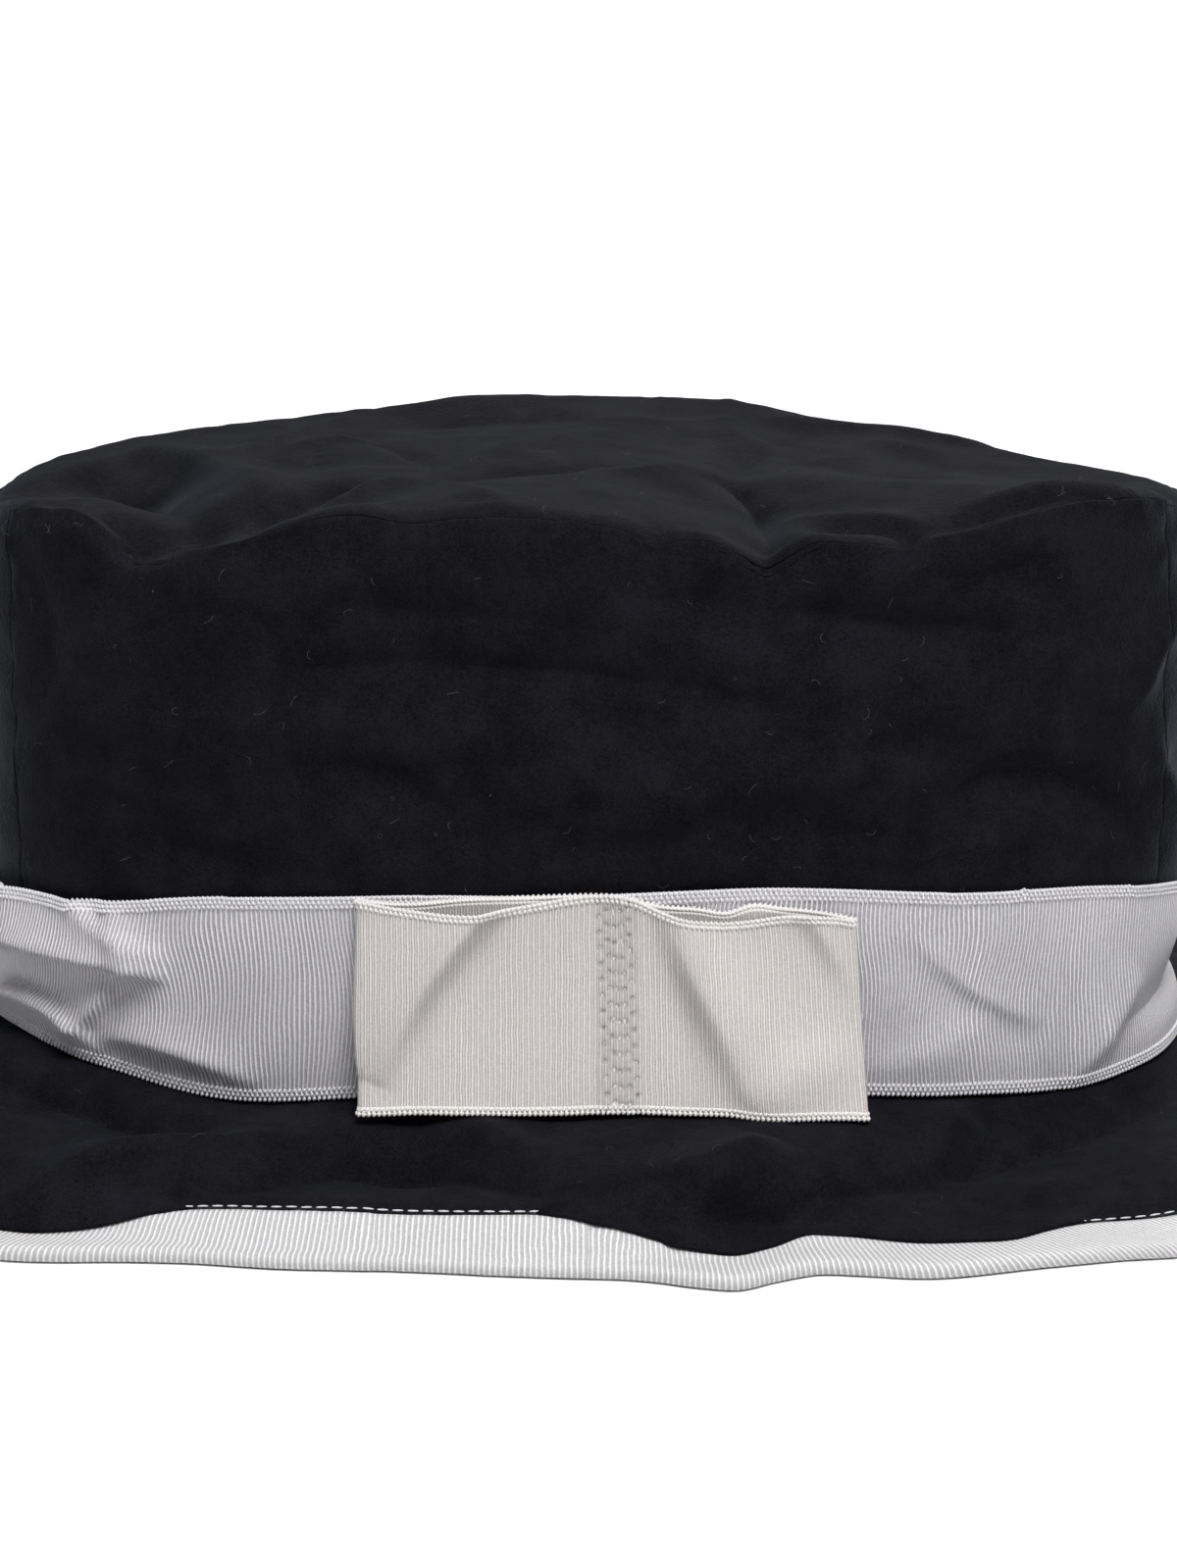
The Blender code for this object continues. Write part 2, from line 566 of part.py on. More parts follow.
# The hat's overall middle stands over the origin
settle = (binding_grid.max(axis=(0, 1)) + binding_grid.min(axis=(0, 1))) / 2 * [1, 1, 0]

black, silver = (0.012, 0.013, 0.018), (0.42, 0.41, 0.40)
ivory, white = (0.62, 0.57, 0.52), (0.74, 0.74, 0.74)

for name, share in (("crown_front", front_share), ("crown_back", back_share)):
    share[[0, -1]] += [drawn_back, -drawn_back]
    panel = crown_points(share, wall_rows(share)) - settle
    add_ring(name, panel, CROWN_CLOTH, black, 0.9, closed=False)
add_cap("crown_tip", crown_points(ring_share, 1 + tip_rows) - settle, CROWN_CLOTH, black, 0.9)
add_ring("brim", brim_grid - settle, BRIM_CLOTH, black, 0.9)
add_ring("brim_binding", binding_grid - settle, RIBBON_CLOTH, white, 0.6, returning=2)
add_ring("hat_band", band_grid - settle, RIBBON_CLOTH, silver, 0.5)

# The bow's back lies against the band, at the band's foremost height in each column
band_front = band_grid[: FRONT_COLUMNS + 1]
band_face = band_front[..., 1].min(axis=1) - RIBBON_CLOTH / 2 - GAP
add_bow("bow", bow_points((band_front[:, 0, 0], band_face)) - settle, ivory, 0.5)
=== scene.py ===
"""A soft black wide-brim hat with a ribbed ribbon band, a flat bow and a bound, drooping brim.

Metres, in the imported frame: +Z up, front of the hat towards -Y. A share round the hat is 0 at the middle of
the front, 0.25 at the right side and 0.5 at the back.
"""

import bpy
import numpy as np
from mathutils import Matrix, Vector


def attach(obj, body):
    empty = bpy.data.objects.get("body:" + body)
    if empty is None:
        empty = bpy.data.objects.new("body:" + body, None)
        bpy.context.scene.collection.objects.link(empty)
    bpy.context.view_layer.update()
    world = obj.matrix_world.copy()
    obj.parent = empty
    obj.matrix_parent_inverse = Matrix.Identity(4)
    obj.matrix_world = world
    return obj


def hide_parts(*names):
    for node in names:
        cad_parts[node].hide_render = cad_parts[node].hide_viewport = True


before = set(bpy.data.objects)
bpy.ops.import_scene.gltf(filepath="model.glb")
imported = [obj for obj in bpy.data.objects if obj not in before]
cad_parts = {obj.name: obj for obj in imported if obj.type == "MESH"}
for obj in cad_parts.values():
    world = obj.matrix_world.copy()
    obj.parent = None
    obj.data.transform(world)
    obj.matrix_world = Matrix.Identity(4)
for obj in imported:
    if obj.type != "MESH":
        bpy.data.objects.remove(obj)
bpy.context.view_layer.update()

# Crown side panels: a front and a back piece of brushed black cloth, sewn to each other at the sides and to
# the tip above. The cloth has no stiffening, so the wall slumps into hollows and creases.
CROWN_AXIS = np.array([-0.00127, -0.00045, 0.0])
CROWN_HALF_WIDTH = 0.1120
CROWN_HALF_DEPTH = 0.0620
CROWN_SQUARENESS = 2.4
CROWN_HEIGHT = 0.1078
FOOT_HEIGHT = 0.0157
EDGE_ROUND = 0.0055
HALF_ROUND = EDGE_ROUND * np.pi / 4
SIDE_SEAM = 0.20
TIP_MIDDLE = 0.995
CROWN_CLOTH = 0.0012
CROWN_LIFT = 0.0012
SEAM_ROUND = 0.0003
SEAM_RIDGE = 0.0006
SEAM_RIDGE_WIDTH = 0.0009
SEAM_GAP = 0.00008
SEAM_STEPS = 5
OUTLINE_STEPS = 2880
FRONT_STEP = 0.0009
BACK_STEP = 0.0014

# The cloth's small waves as pairs of height and length, how much they are stretched, and the seams' puckers
SLUMP = (0.7, 0.7, 1.5)
WALL_WAVES = ((0.00055, 0.026), (0.00020, 0.011))
WALL_PUCKERS = ((0.00016, 0.0045),)
WALL_PUCKER_REACH = 0.004
WAVE_COUNT = 20
WAVE_RANGE = (0.6, 1.5)

# The cloth's two shades, the cloudy patches, the nap and the grain that mix them, and pale specks. The
# patches are tone at random and also painted sheen where the nap lies another way; the nap and the grain
# lighten the colour where they raise its bump, as painted shade in their hollows. A noise is its scale,
# its detail and, where it isn't 0.5, its roughness
CLOTH_DARK = (0.0026, 0.0025, 0.0040)
CLOTH_LIGHT = (0.0094, 0.0092, 0.0128)
PATCH_NOISE, NAP_NOISE, GRAIN_NOISE = (85.0, 6.0, 0.7), (900.0, 3.0, 0.7), (2600.0, 2.0)
PATCH_GAIN, PATCH_SHIFT = 2.2, -0.95
GRAIN_GAIN, GRAIN_SHIFT = 2.2, -1.1
NAP_SHARE, GRAIN_HEIGHT = 0.7, 0.5
NAP_DEPTH, NAP_STRENGTH = 0.0004, 0.8
SPECK_COLOUR = (0.20, 0.21, 0.23)
SPECK_SCALE, SPECK_SIZE, SPECK_FEWNESS, SPECK_SHARE = 210.0, 0.035, 0.88, 0.5

# Share round the hat, foot height, standing height of the ribbon, height of the crown, each as a share
ROUND_THE_HAT = (
    (0.000, 1.00, 1.000, 1.018), (0.060, 0.98, 1.030, 0.978), (0.120, 0.81, 1.020, 1.018),
    (0.160, 0.69, 1.013, 1.057), (0.200, 0.71, 0.899, 1.034), (0.250, 0.78, 0.717, 0.977),
    (0.320, 0.92, 0.720, 0.922), (0.400, 0.98, 0.840, 0.948), (0.500, 1.00, 0.880, 0.998),
    (0.600, 1.00, 0.840, 0.970), (0.680, 1.02, 0.720, 0.942), (0.750, 1.00, 0.641, 0.927),
    (0.800, 1.11, 0.730, 0.960), (0.840, 0.95, 0.853, 0.991), (0.880, 0.77, 1.009, 1.000),
    (0.940, 0.95, 1.002, 1.025),
)

# Share round the hat, how far the crumpled seam of the tip stands above its smooth run there, in metres
SEAM_LINE = (
    (0.000, 0.0000), (0.010, -0.0006), (0.020, -0.0026), (0.030, -0.0006), (0.040, -0.0002),
    (0.047, -0.0015), (0.055, -0.0028), (0.062, -0.0010), (0.070, 0.0011), (0.080, 0.0005),
    (0.090, -0.0004), (0.100, -0.0021), (0.107, -0.0006), (0.120, 0.0000), (0.240, -0.0003),
    (0.300, 0.0003), (0.440, 0.0014), (0.460, 0.0016), (0.490, 0.0004), (0.540, -0.0004),
    (0.640, 0.0004), (0.740, 0.0004), (0.800, -0.0004), (0.820, 0.0012), (0.832, 0.0014),
    (0.841, -0.0008), (0.852, -0.0050), (0.861, -0.0042), (0.870, -0.0024), (0.880, -0.0009),
    (0.890, 0.0000), (0.905, 0.0015), (0.920, 0.0025), (0.930, 0.0020), (0.940, 0.0001),
    (0.960, 0.0003),
)
SEAM_LINE_REACH = 0.0085
SEAM_LINE_FALL = 1.6

# Height up the crown, half width there, half depth there, as shares
UP_THE_CROWN = (
    (0.00, 1.014, 1.000), (0.12, 1.018, 0.998), (0.36, 1.024, 1.000), (0.65, 1.026, 0.995),
    (0.88, 1.028, 0.975), (1.00, 1.028, 0.962),
)

# Folds: start, middle and end as pairs of shares, spread to the left and to the right of the way it runs,
# height outwards, fall (1.2 is crisp, 2 is soft). On the wall a pair is share round, share up
WALL_FOLDS = (
    (0.175, 0.06, 0.24, 0.12, 0.33, 0.12, 0.8, 0.8, -0.9, 1.5),
    (0.67, 0.13, 0.75, 0.13, 0.83, 0.12, 0.8, 0.8, -0.32, 1.5),
    (0.1, 0.32, 0.122, 0.2, 0.15, 0.12, 0.8, 0.8, -0.4, 1.5),
    (0.898, 0.78, 0.972, 0.75, 1.056, 0.74, 0.4, 1.1, -1.05, 1.4),
    (0.918, 0.88, 0.962, 0.84, 1.014, 0.82, 0.3, 0.7, -0.62, 1.4),
    (0.9, 0.86, 0.912, 0.9, 0.93, 0.92, 0.4, 0.4, 0.48, 1.4),
    (0.006, 0.88, 0.04, 0.89, 0.078, 0.88, 0.4, 0.7, -0.45, 1.4),
    (0.058, 0.89, 0.096, 0.86, 0.15, 0.79, 0.35, 0.9, -0.95, 1.3),
    (0.028, 0.8, 0.066, 0.74, 0.11, 0.69, 0.8, 0.55, 0.45, 1.8),
    (0.08, 0.71, 0.108, 0.65, 0.135, 0.6, 0.5, 0.7, -0.42, 1.6),
    (0.905, 0.59, 0.938, 0.56, 0.966, 0.44, 0.5, 0.9, -0.67, 1.5),
    (0.91, 0.5, 0.94, 0.49, 0.962, 0.41, 0.4, 0.6, 0.35, 1.6),
    (0.008, 0.46, 0.055, 0.59, 0.112, 0.58, 0.9, 0.45, 0.67, 1.6),
    (0.105, 0.44, 0.138, 0.57, 0.192, 0.4, 0.35, 1.0, -1.09, 1.4),
    (0.057, 1.04, 0.053, 0.94, 0.03, 0.86, 0.6, 0.6, -0.45, 1.7),
    (0.868, 0.98, 0.852, 0.92, 0.835, 0.8, 1.0, 0.6, -0.5, 1.6),
    (0.098, 0.95, 0.126, 0.92, 0.146, 0.93, 0.2, 0.35, -0.48, 1.2),
    (0.22, 0.88, 0.2, 0.76, 0.177, 0.63, 0.3, 0.5, 0.51, 1.2),
    (0.19, 0.6, 0.212, 0.47, 0.236, 0.36, 0.3, 0.5, 0.45, 1.2),
    (0.8, 0.95, 0.82, 0.8, 0.812, 0.62, 0.6, 0.6, -0.35, 1.5),
    (0.846, 0.72, 0.868, 0.66, 0.9, 0.7, 0.5, 0.7, 0.32, 1.6),
    (0.848, 0.4, 0.866, 0.46, 0.89, 0.41, 0.5, 0.6, -0.4, 1.5),
    (0.975, 0.66, 0.995, 0.6, 1.02, 0.62, 0.9, 0.9, 0.32, 2.0),
    (0.29, 0.85, 0.34, 0.62, 0.38, 0.45, 0.6, 1.2, -0.6, 1.4),
    (0.44, 0.4, 0.49, 0.62, 0.56, 0.7, 1.2, 0.6, -0.5, 1.4),
    (0.6, 0.8, 0.65, 0.6, 0.72, 0.55, 1.2, 0.6, 0.5, 1.4),
    (0.3, 0.5, 0.35, 0.42, 0.43, 0.5, 0.5, 0.9, -0.35, 1.4),
    (0.52, 0.88, 0.57, 0.8, 0.64, 0.84, 0.4, 0.8, -0.4, 1.4),
    (0.56, 0.45, 0.61, 0.4, 0.68, 0.46, 0.6, 0.9, -0.35, 1.5),
    (0.38, 0.92, 0.43, 0.82, 0.48, 0.86, 0.45, 0.8, -0.38, 1.4),
)

# On the tip a pair is share of the half width to the right, share of the half depth to the back
TIP_FOLDS = (
    (-0.81, 0.46, -0.65, 0.1, -0.53, -0.56, 0.9, 0.45, 1.01, 1.6),
    (-0.87, 0.22, -0.74, -0.15, -0.59, -0.9, 0.6, 0.9, -1.42, 1.5),
    (-0.95, -0.05, -0.92, 0.2, -0.8, 0.36, 0.6, 0.5, 0.68, 1.5),
    (-0.92, -0.4, -0.79, -0.66, -0.6, -0.8, 1.0, 1.1, -1.01, 1.5),
    (-0.58, -0.9, -0.47, -0.45, -0.37, -0.33, 0.35, 0.45, -0.81, 1.4),
    (-0.47, -0.62, -0.36, -0.38, -0.24, -0.44, 0.3, 0.5, 0.51, 1.5),
    (-0.56, 0.22, -0.42, 0.34, -0.3, -0.15, 0.4, 0.8, 0.61, 1.4),
    (-0.33, -0.16, -0.23, -0.58, -0.1, -0.95, 0.45, 0.7, 0.57, 1.4),
    (-0.43, 0.33, -0.31, 0.13, -0.2, -0.18, 0.22, 0.3, -0.35, 1.3),
    (-0.66, 0.2, -0.53, 0.48, -0.41, 0.78, 0.3, 0.3, 0.35, 1.3),
    (-0.42, 0.66, -0.18, 0.62, 0.05, 0.52, 0.7, 0.8, -0.51, 1.5),
    (-0.38, 0.84, -0.2, 0.85, 0.02, 0.83, 0.5, 0.6, 0.41, 1.5),
    (-0.25, -0.2, -0.14, 0.14, -0.03, 0.34, 0.5, 0.5, 0.35, 1.5),
    (-0.23, -0.26, -0.1, -0.2, 0.03, -0.1, 0.3, 0.4, -0.35, 1.5),
    (0.2, -0.2, 0.28, -0.46, 0.29, -1.02, 0.26, 0.34, -0.71, 1.5),
    (0.24, -0.26, 0.27, 0.14, 0.34, 0.5, 0.24, 0.22, -0.41, 1.3),
    (0.25, 0.24, 0.25, 0.6, 0.25, 0.94, 0.25, 0.3, 0.34, 1.4),
    (0.25, 0.45, 0.28, -0.45, 0.3, -1.45, 1.2, 1.1, -0.52, 1.5),
    (0.31, 0.75, 0.48, 0.74, 0.72, 0.72, 0.3, 0.4, 0.43, 1.3),
    (0.32, 0.86, 0.5, 0.85, 0.68, 0.83, 0.3, 0.3, -0.32, 1.4),
    (0.32, -0.62, 0.43, -0.68, 0.56, -0.76, 0.3, 0.25, 0.32, 1.4),
    (0.35, -0.74, 0.44, -0.78, 0.54, -0.82, 0.25, 0.25, -0.39, 1.4),
    (-0.02, -0.18, 0.12, -0.16, 0.26, 0.2, 0.3, 0.5, 0.32, 1.4),
    (-0.02, 0.58, 0.12, 0.57, 0.27, 0.68, 0.3, 0.4, 0.22, 1.4),
    (0.42, 0.42, 0.54, 0.6, 0.67, 0.42, 0.5, 0.6, 0.38, 1.5),
    (0.6, -0.72, 0.74, -0.6, 0.92, -0.48, 0.3, 0.4, 0.51, 1.4),
    (0.5, -0.86, 0.66, -0.74, 0.88, -0.58, 0.25, 0.28, -0.69, 1.4),
    (0.92, -0.15, 0.96, -0.28, 1.0, -0.46, 0.3, 0.3, -0.48, 1.4),
    (0.4, 0.3, 0.58, 0.05, 0.8, 0.1, 1.2, 1.2, -0.57, 1.5),
)
FOLD_DEPTH = 0.0040
FOLD_SPREAD = 0.0100
FOLD_REACH = 4
FOLD_BLUNTNESS = 0.7
FOLD_FREE = 0.10
FOLD_STEPS = 24
WHOLE_ROUND = 0.4


def curve_through(at, value, place):
    """A smooth curve through the points (at, value), read at each place: cubic pieces with shared slopes."""
    slope = np.gradient(value, at)
    i = np.clip(np.searchsorted(at, place, side="right") - 1, 0, len(at) - 2)
    step = at[i + 1] - at[i]
    t = (place - at[i]) / step
    rise = (1 + 2 * t) * (1 - t) ** 2 * value[i] + t**2 * (3 - 2 * t) * value[i + 1]
    return rise + step * t * (1 - t) * ((1 - t) * slope[i] - t * slope[i + 1])


def round_value(table, share, column=1):
    """A column of a table whose rows run round the hat, read at each share: the curve closes on itself."""
    rows = np.array(table)
    at = np.concatenate([rows[-3:, 0] - 1, rows[:, 0], rows[:3, 0] + 1])
    value = np.concatenate([rows[-3:, column], rows[:, column], rows[:3, column]])
    return curve_through(at, value, np.mod(share, 1.0))


def unit(vectors):
    """Directions: vectors divided by their lengths."""
    return vectors / np.maximum(np.linalg.norm(vectors, axis=-1, keepdims=True), 1e-12)


def eased(share):
    """A share kept from 0 to 1 that starts and ends softly: share squared times (3 less 2 shares)."""
    share = np.clip(share, 0, 1)
    return share**2 * (3 - 2 * share)


def raised(plan, height):
    """Points or directions from their part in plan and their part upwards."""
    return np.concatenate([plan, height[..., None]], axis=-1)


def foot_outline(share):
    """The crown's foot in plan, its directions outwards and its length, with even steps along it.

    The outline is |x / half width| ** n + |y / half depth| ** n = 1.
    """
    turn = np.linspace(0, 2 * np.pi, OUTLINE_STEPS + 1)
    power = 2 / CROWN_SQUARENESS
    x = CROWN_HALF_WIDTH * np.sign(np.sin(turn)) * np.abs(np.sin(turn)) ** power
    y = -CROWN_HALF_DEPTH * np.sign(np.cos(turn)) * np.abs(np.cos(turn)) ** power
    way = np.concatenate([[0], np.cumsum(np.hypot(np.diff(x), np.diff(y)))])
    at = np.mod(share, 1.0) * way[-1]
    point = np.stack([np.interp(at, way, x), np.interp(at, way, y)], axis=-1)
    half = np.array([CROWN_HALF_WIDTH, CROWN_HALF_DEPTH])
    return point, unit(np.sign(point) * np.abs(point / half) ** (CROWN_SQUARENESS - 1) / half), way[-1]


def fold_height(table, across, up, across_size, up_size):
    """Height of a table's folds: each falls away from its bent line as exp(-(distance / spread) ** fall).

    A fold fades to nothing at both its ends, as sin(pi * way along) ** bluntness. Above a size of
    WHOLE_ROUND, across runs round the hat and closes on itself.
    """
    shape = np.broadcast(across, up).shape
    across, up = (values.ravel() for values in np.broadcast_arrays(across, up))
    total = np.zeros(across.size)
    along = np.linspace(0, 1, FOLD_STEPS + 1)
    ways = np.stack([(1 - along) * (1 - 2 * along), 4 * along * (1 - along), along * (2 * along - 1)])
    for *places, left, right, height, fall in table:
        line = ways.T @ np.reshape(places, (3, 2))
        middle = line.mean(axis=0)
        reach = np.ptp(line, axis=0) + FOLD_REACH * max(left, right) * FOLD_SPREAD / across_size
        shift = across - middle[0]
        shift = shift - np.round(shift) * (across_size > WHOLE_ROUND)
        beside, level = np.abs(shift), np.abs(up - middle[1])
        near = np.flatnonzero((beside < reach[0]) & (level * up_size < reach[1] * across_size))
        dx = (shift[near, None] - line[:, 0] + middle[0]) * across_size
        dy = (up[near, None] - line[:, 1]) * up_size
        nearest = np.hypot(dx, dy).argmin(axis=-1)
        dx, dy = dx[np.arange(len(near)), nearest], dy[np.arange(len(near)), nearest]
        run = (np.gradient(line, axis=0) * [across_size, up_size])[nearest]
        length = np.hypot(run[:, 0], run[:, 1])
        ahead = (run[:, 0] * dx + run[:, 1] * dy) / length**2
        aside = (run[:, 0] * dy - run[:, 1] * dx) / length
        spread = np.where(aside > 0, left, right) * FOLD_SPREAD
        fade = np.sin(np.pi * np.clip(along[nearest] + ahead / FOLD_STEPS, 0, 1)) ** FOLD_BLUNTNESS
        total[near] += height * fade * np.exp(-((np.abs(aside) / spread) ** fall))
    return total.reshape(shape) * FOLD_DEPTH


def crown_points(share, up):
    """The middle of the crown's cloth: up is 0 at the foot, 1 at the seam of the tip, 2 at the tip's middle.

    The foot's outline rises, turns a quarter round over the edge and closes in to the middle. Folds stand
    out along the wall's outward direction, turning to straight up over the edge.
    """
    foot, out, around = foot_outline(share)
    foot_height = FOOT_HEIGHT * round_value(ROUND_THE_HAT, share)[:, None]
    rise = CROWN_HEIGHT * round_value(ROUND_THE_HAT, share, 3)[:, None]
    straight, inwards = rise - EDGE_ROUND, CROWN_HALF_DEPTH - EDGE_ROUND
    wall = np.clip(up, 0, 1) * (straight + HALF_ROUND)
    beyond = np.clip(up - 1, 0, 1) * (HALF_ROUND + inwards)
    turned = (np.clip(wall - straight, 0, HALF_ROUND) + np.clip(beyond, 0, HALF_ROUND)) / (2 * HALF_ROUND)
    angle = turned * np.pi / 2
    height = np.minimum(wall, straight) + EDGE_ROUND * np.sin(angle)
    rows = np.array(UP_THE_CROWN)
    width, depth = (curve_through(rows[:, 0], rows[:, column], height / rise) for column in (1, 2))
    inner = np.clip((beyond - HALF_ROUND) / inwards, 0, 1)
    from_seam = np.abs(wall - straight - HALF_ROUND) + beyond
    seam_line = round_value(SEAM_LINE, share)[:, None]
    height = foot_height + height + seam_line * np.exp(-((from_seam / SEAM_LINE_REACH) ** SEAM_LINE_FALL))
    height = height + (FOOT_HEIGHT + CROWN_HEIGHT * TIP_MIDDLE - height) * eased(inner)
    plan = np.stack([foot[:, None, 0] * width, foot[:, None, 1] * depth], axis=-1)
    plan = plan - out[:, None] * (EDGE_ROUND * (1 - np.cos(angle)))[..., None]
    plan = plan * (1 - inner)[..., None]
    around_share, up = np.broadcast_arrays(share[:, None], up)
    on_wall = fold_height(WALL_FOLDS, around_share, up, around, CROWN_HEIGHT)
    on_wall = on_wall * np.clip(up / FOLD_FREE, 0, 1) ** 2
    across, back = plan[..., 0] / CROWN_HALF_WIDTH, plan[..., 1] / CROWN_HALF_DEPTH
    on_tip = fold_height(TIP_FOLDS, across, back, CROWN_HALF_WIDTH, CROWN_HALF_DEPTH)
    bump = on_wall * (1 - turned) + on_tip * turned
    normal = raised(np.cos(angle)[..., None] * out[:, None], np.sin(angle))
    return raised(plan, height) + normal * bump[..., None] + CROWN_AXIS


def ripples(points, waves, seed):
    """Small irregular waves, a pair of height and length each: plane waves in seeded directions, summed."""
    total = 0
    for number, (height, length) in enumerate(waves):
        chance = np.random.default_rng(seed + number)
        way = chance.normal(size=(WAVE_COUNT, 3))
        rate = 2 * np.pi / length * chance.uniform(*WAVE_RANGE, (WAVE_COUNT, 1))
        way *= rate / np.linalg.norm(way, axis=1, keepdims=True)
        start = chance.uniform(0, 2 * np.pi, WAVE_COUNT)
        total = total + height * (np.cos(points @ way.T + start).sum(axis=-1) / np.sqrt(2 * WAVE_COUNT))
    return total


def surface_directions(grid, closed=False):
    """Directions out of a grid's surface: the cross product of its steps along columns and along rows."""
    if closed:
        grid = np.concatenate([grid[-1:], grid, grid[:1]])
    out = unit(np.cross(np.gradient(grid, axis=0), np.gradient(grid, axis=1)))
    return out[1:-1] if closed else out


def grid_faces(columns, rows, closed=False, section_closed=False):
    """Four corners of each square of a grid, whose columns may close round the hat, and rows into a loop."""
    index = np.arange(columns * rows).reshape(columns, rows)
    if closed:
        index = np.concatenate([index, index[:1]])
    if section_closed:
        index = np.concatenate([index, index[:, :1]], axis=1)
    return np.stack([index[:-1, :-1], index[1:, :-1], index[1:, 1:], index[:-1, 1:]], axis=-1).reshape(-1, 4)


def add_mesh(name, points, faces, material, uv=None):
    """An object of smooth faces at the origin; uv holds one pair for each corner of each face."""
    mesh = bpy.data.meshes.new(name)
    mesh.from_pydata(points.reshape(-1, 3), [], faces)
    mesh.polygons.foreach_set("use_smooth", np.ones(len(faces), bool))
    if uv is not None:
        mesh.uv_layers.new(name="UVMap").data.foreach_set("uv", uv.astype(np.float32).ravel())
    mesh.materials.append(material)
    made = bpy.data.objects.new(name, mesh)
    bpy.context.scene.collection.objects.link(made)
    return made


def thicken(piece, thickness, offset):
    """Gives a sheet its thickness: offset -1 keeps the sheet as the outer face, 0 as the middle."""
    shell = piece.modifiers.new("thickness", "SOLIDIFY")
    shell.thickness = thickness
    shell.offset = offset
    return piece


def with_edges(length, step, first, last):
    """Places from 0 to length a step apart, with close ones at the ends that are rounded into a seam."""
    close = SEAM_ROUND * (1 - np.cos(np.linspace(0, np.pi / 2, SEAM_STEPS)))
    start, stop = (SEAM_ROUND if first else 0), length - (SEAM_ROUND if last else 0)
    middle = np.linspace(start, stop, int(round((stop - start) / step)) + 1)
    parts = [close[:-1] if first else [], middle, length - close[-2::-1] if last else []]
    return np.concatenate(parts)


def seam_sink(distance):
    """How far a cloth's face lies in beside a seam: a quarter circle of the seam's rounding."""
    near = np.clip(SEAM_ROUND - distance, 0, SEAM_ROUND)
    return SEAM_ROUND - np.sqrt(SEAM_ROUND**2 - near**2)


def add_node(tree, kind, settings=None, inputs=None, output=0):
    """A shader node; each input is a plain value or another node's output."""
    made = tree.nodes.new(kind)
    for key, value in (settings or {}).items():
        setattr(made, key, value)
    for key, value in (inputs or {}).items():
        if isinstance(value, bpy.types.NodeSocket):
            tree.links.new(value, made.inputs[key])
        else:
            made.inputs[key].default_value = value
    return made.outputs[output]


def reckon(tree, operation, *values):
    """A Math node's result."""
    return add_node(tree, "ShaderNodeMath", {"operation": operation}, dict(enumerate(values)))


def mixed(tree, share, low, high):
    """A colour between two, by a share from 0 to 1; each is a colour or another node's output."""
    low, high = (end if isinstance(end, bpy.types.NodeSocket) else (*end, 1.0) for end in (low, high))
    return add_node(tree, "ShaderNodeMix", {"data_type": "RGBA"}, {0: share, 6: low, 7: high}, 2)


def object_place(tree):
    """Object coordinates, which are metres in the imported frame."""
    return tree.nodes.new("ShaderNodeTexCoord").outputs["Object"]


def noise(tree, scale, detail, roughness=0.5):
    """Cloudy noise through the cloth, about 0.5 in the middle."""
    settings = {"Vector": object_place(tree), "Scale": scale, "Detail": detail, "Roughness": roughness}
    return add_node(tree, "ShaderNodeTexNoise", None, settings)


def new_material(name, settings):
    """A material and its nodes, with its shader's plain values set."""
    material = bpy.data.materials.new(name)
    material.use_nodes = True
    for key, value in settings.items():
        material.node_tree.nodes["Principled BSDF"].inputs[key].default_value = value
    return material, material.node_tree


def surfaced(material, colour, height, depth, strength=1.0):
    """Gives a material its colour and its relief: a height from 0 to 1 as a bump of a depth in metres."""
    tree = material.node_tree
    shader = tree.nodes["Principled BSDF"].inputs
    relief = {"Strength": strength, "Distance": depth, "Height": height}
    tree.links.new(colour, shader["Base Color"])
    tree.links.new(add_node(tree, "ShaderNodeBump", None, relief), shader["Normal"])
    return material


def brushed_cloth():
    """Near-black brushed cloth: raised nap, cloudy patches where it lies another way, and pale specks.

    The colour is lighter where the nap and the grain raise the bump, as painted shade in their hollows, and
    the patches are tone at random and painted sheen.
    """
    material, tree = new_material("brushed_black_cloth", {
        "Roughness": 0.85,
        "Specular IOR Level": 0.06,
        "Sheen Weight": 0.098,
        "Sheen Roughness": 0.30,
        "Sheen Tint": (0.71, 0.83, 1.0, 1.0),
    })
    patches, nap, grain = (noise(tree, *values) for values in (PATCH_NOISE, NAP_NOISE, GRAIN_NOISE))
    # Patches: random tone and painted sheen; nap and grain: painted shade in the hollows of the bump they
    # make
    share = reckon(tree, "MULTIPLY_ADD", patches, PATCH_GAIN, PATCH_SHIFT)
    share = reckon(tree, "MULTIPLY_ADD", nap, NAP_SHARE, share)
    share = reckon(tree, "ADD", share, reckon(tree, "MULTIPLY_ADD", grain, GRAIN_GAIN, GRAIN_SHIFT))
    cells = {"Vector": object_place(tree), "Scale": SPECK_SCALE}
    speck = add_node(tree, "ShaderNodeTexVoronoi", None, cells).node.outputs
    chosen = add_node(tree, "ShaderNodeSeparateColor", None, {0: speck["Color"]})
    chosen = reckon(tree, "GREATER_THAN", chosen, SPECK_FEWNESS)
    lit = reckon(tree, "MULTIPLY", reckon(tree, "LESS_THAN", speck["Distance"], SPECK_SIZE), chosen)
    lit = reckon(tree, "MULTIPLY", lit, SPECK_SHARE)
    colour = mixed(tree, lit, mixed(tree, share, CLOTH_DARK, CLOTH_LIGHT), SPECK_COLOUR)
    height = reckon(tree, "MULTIPLY_ADD", nap, NAP_SHARE, reckon(tree, "MULTIPLY", grain, GRAIN_HEIGHT))
    return surfaced(material, colour, height, NAP_DEPTH, NAP_STRENGTH)


cloth = brushed_cloth()
around_foot = foot_outline(np.zeros(1))[2]


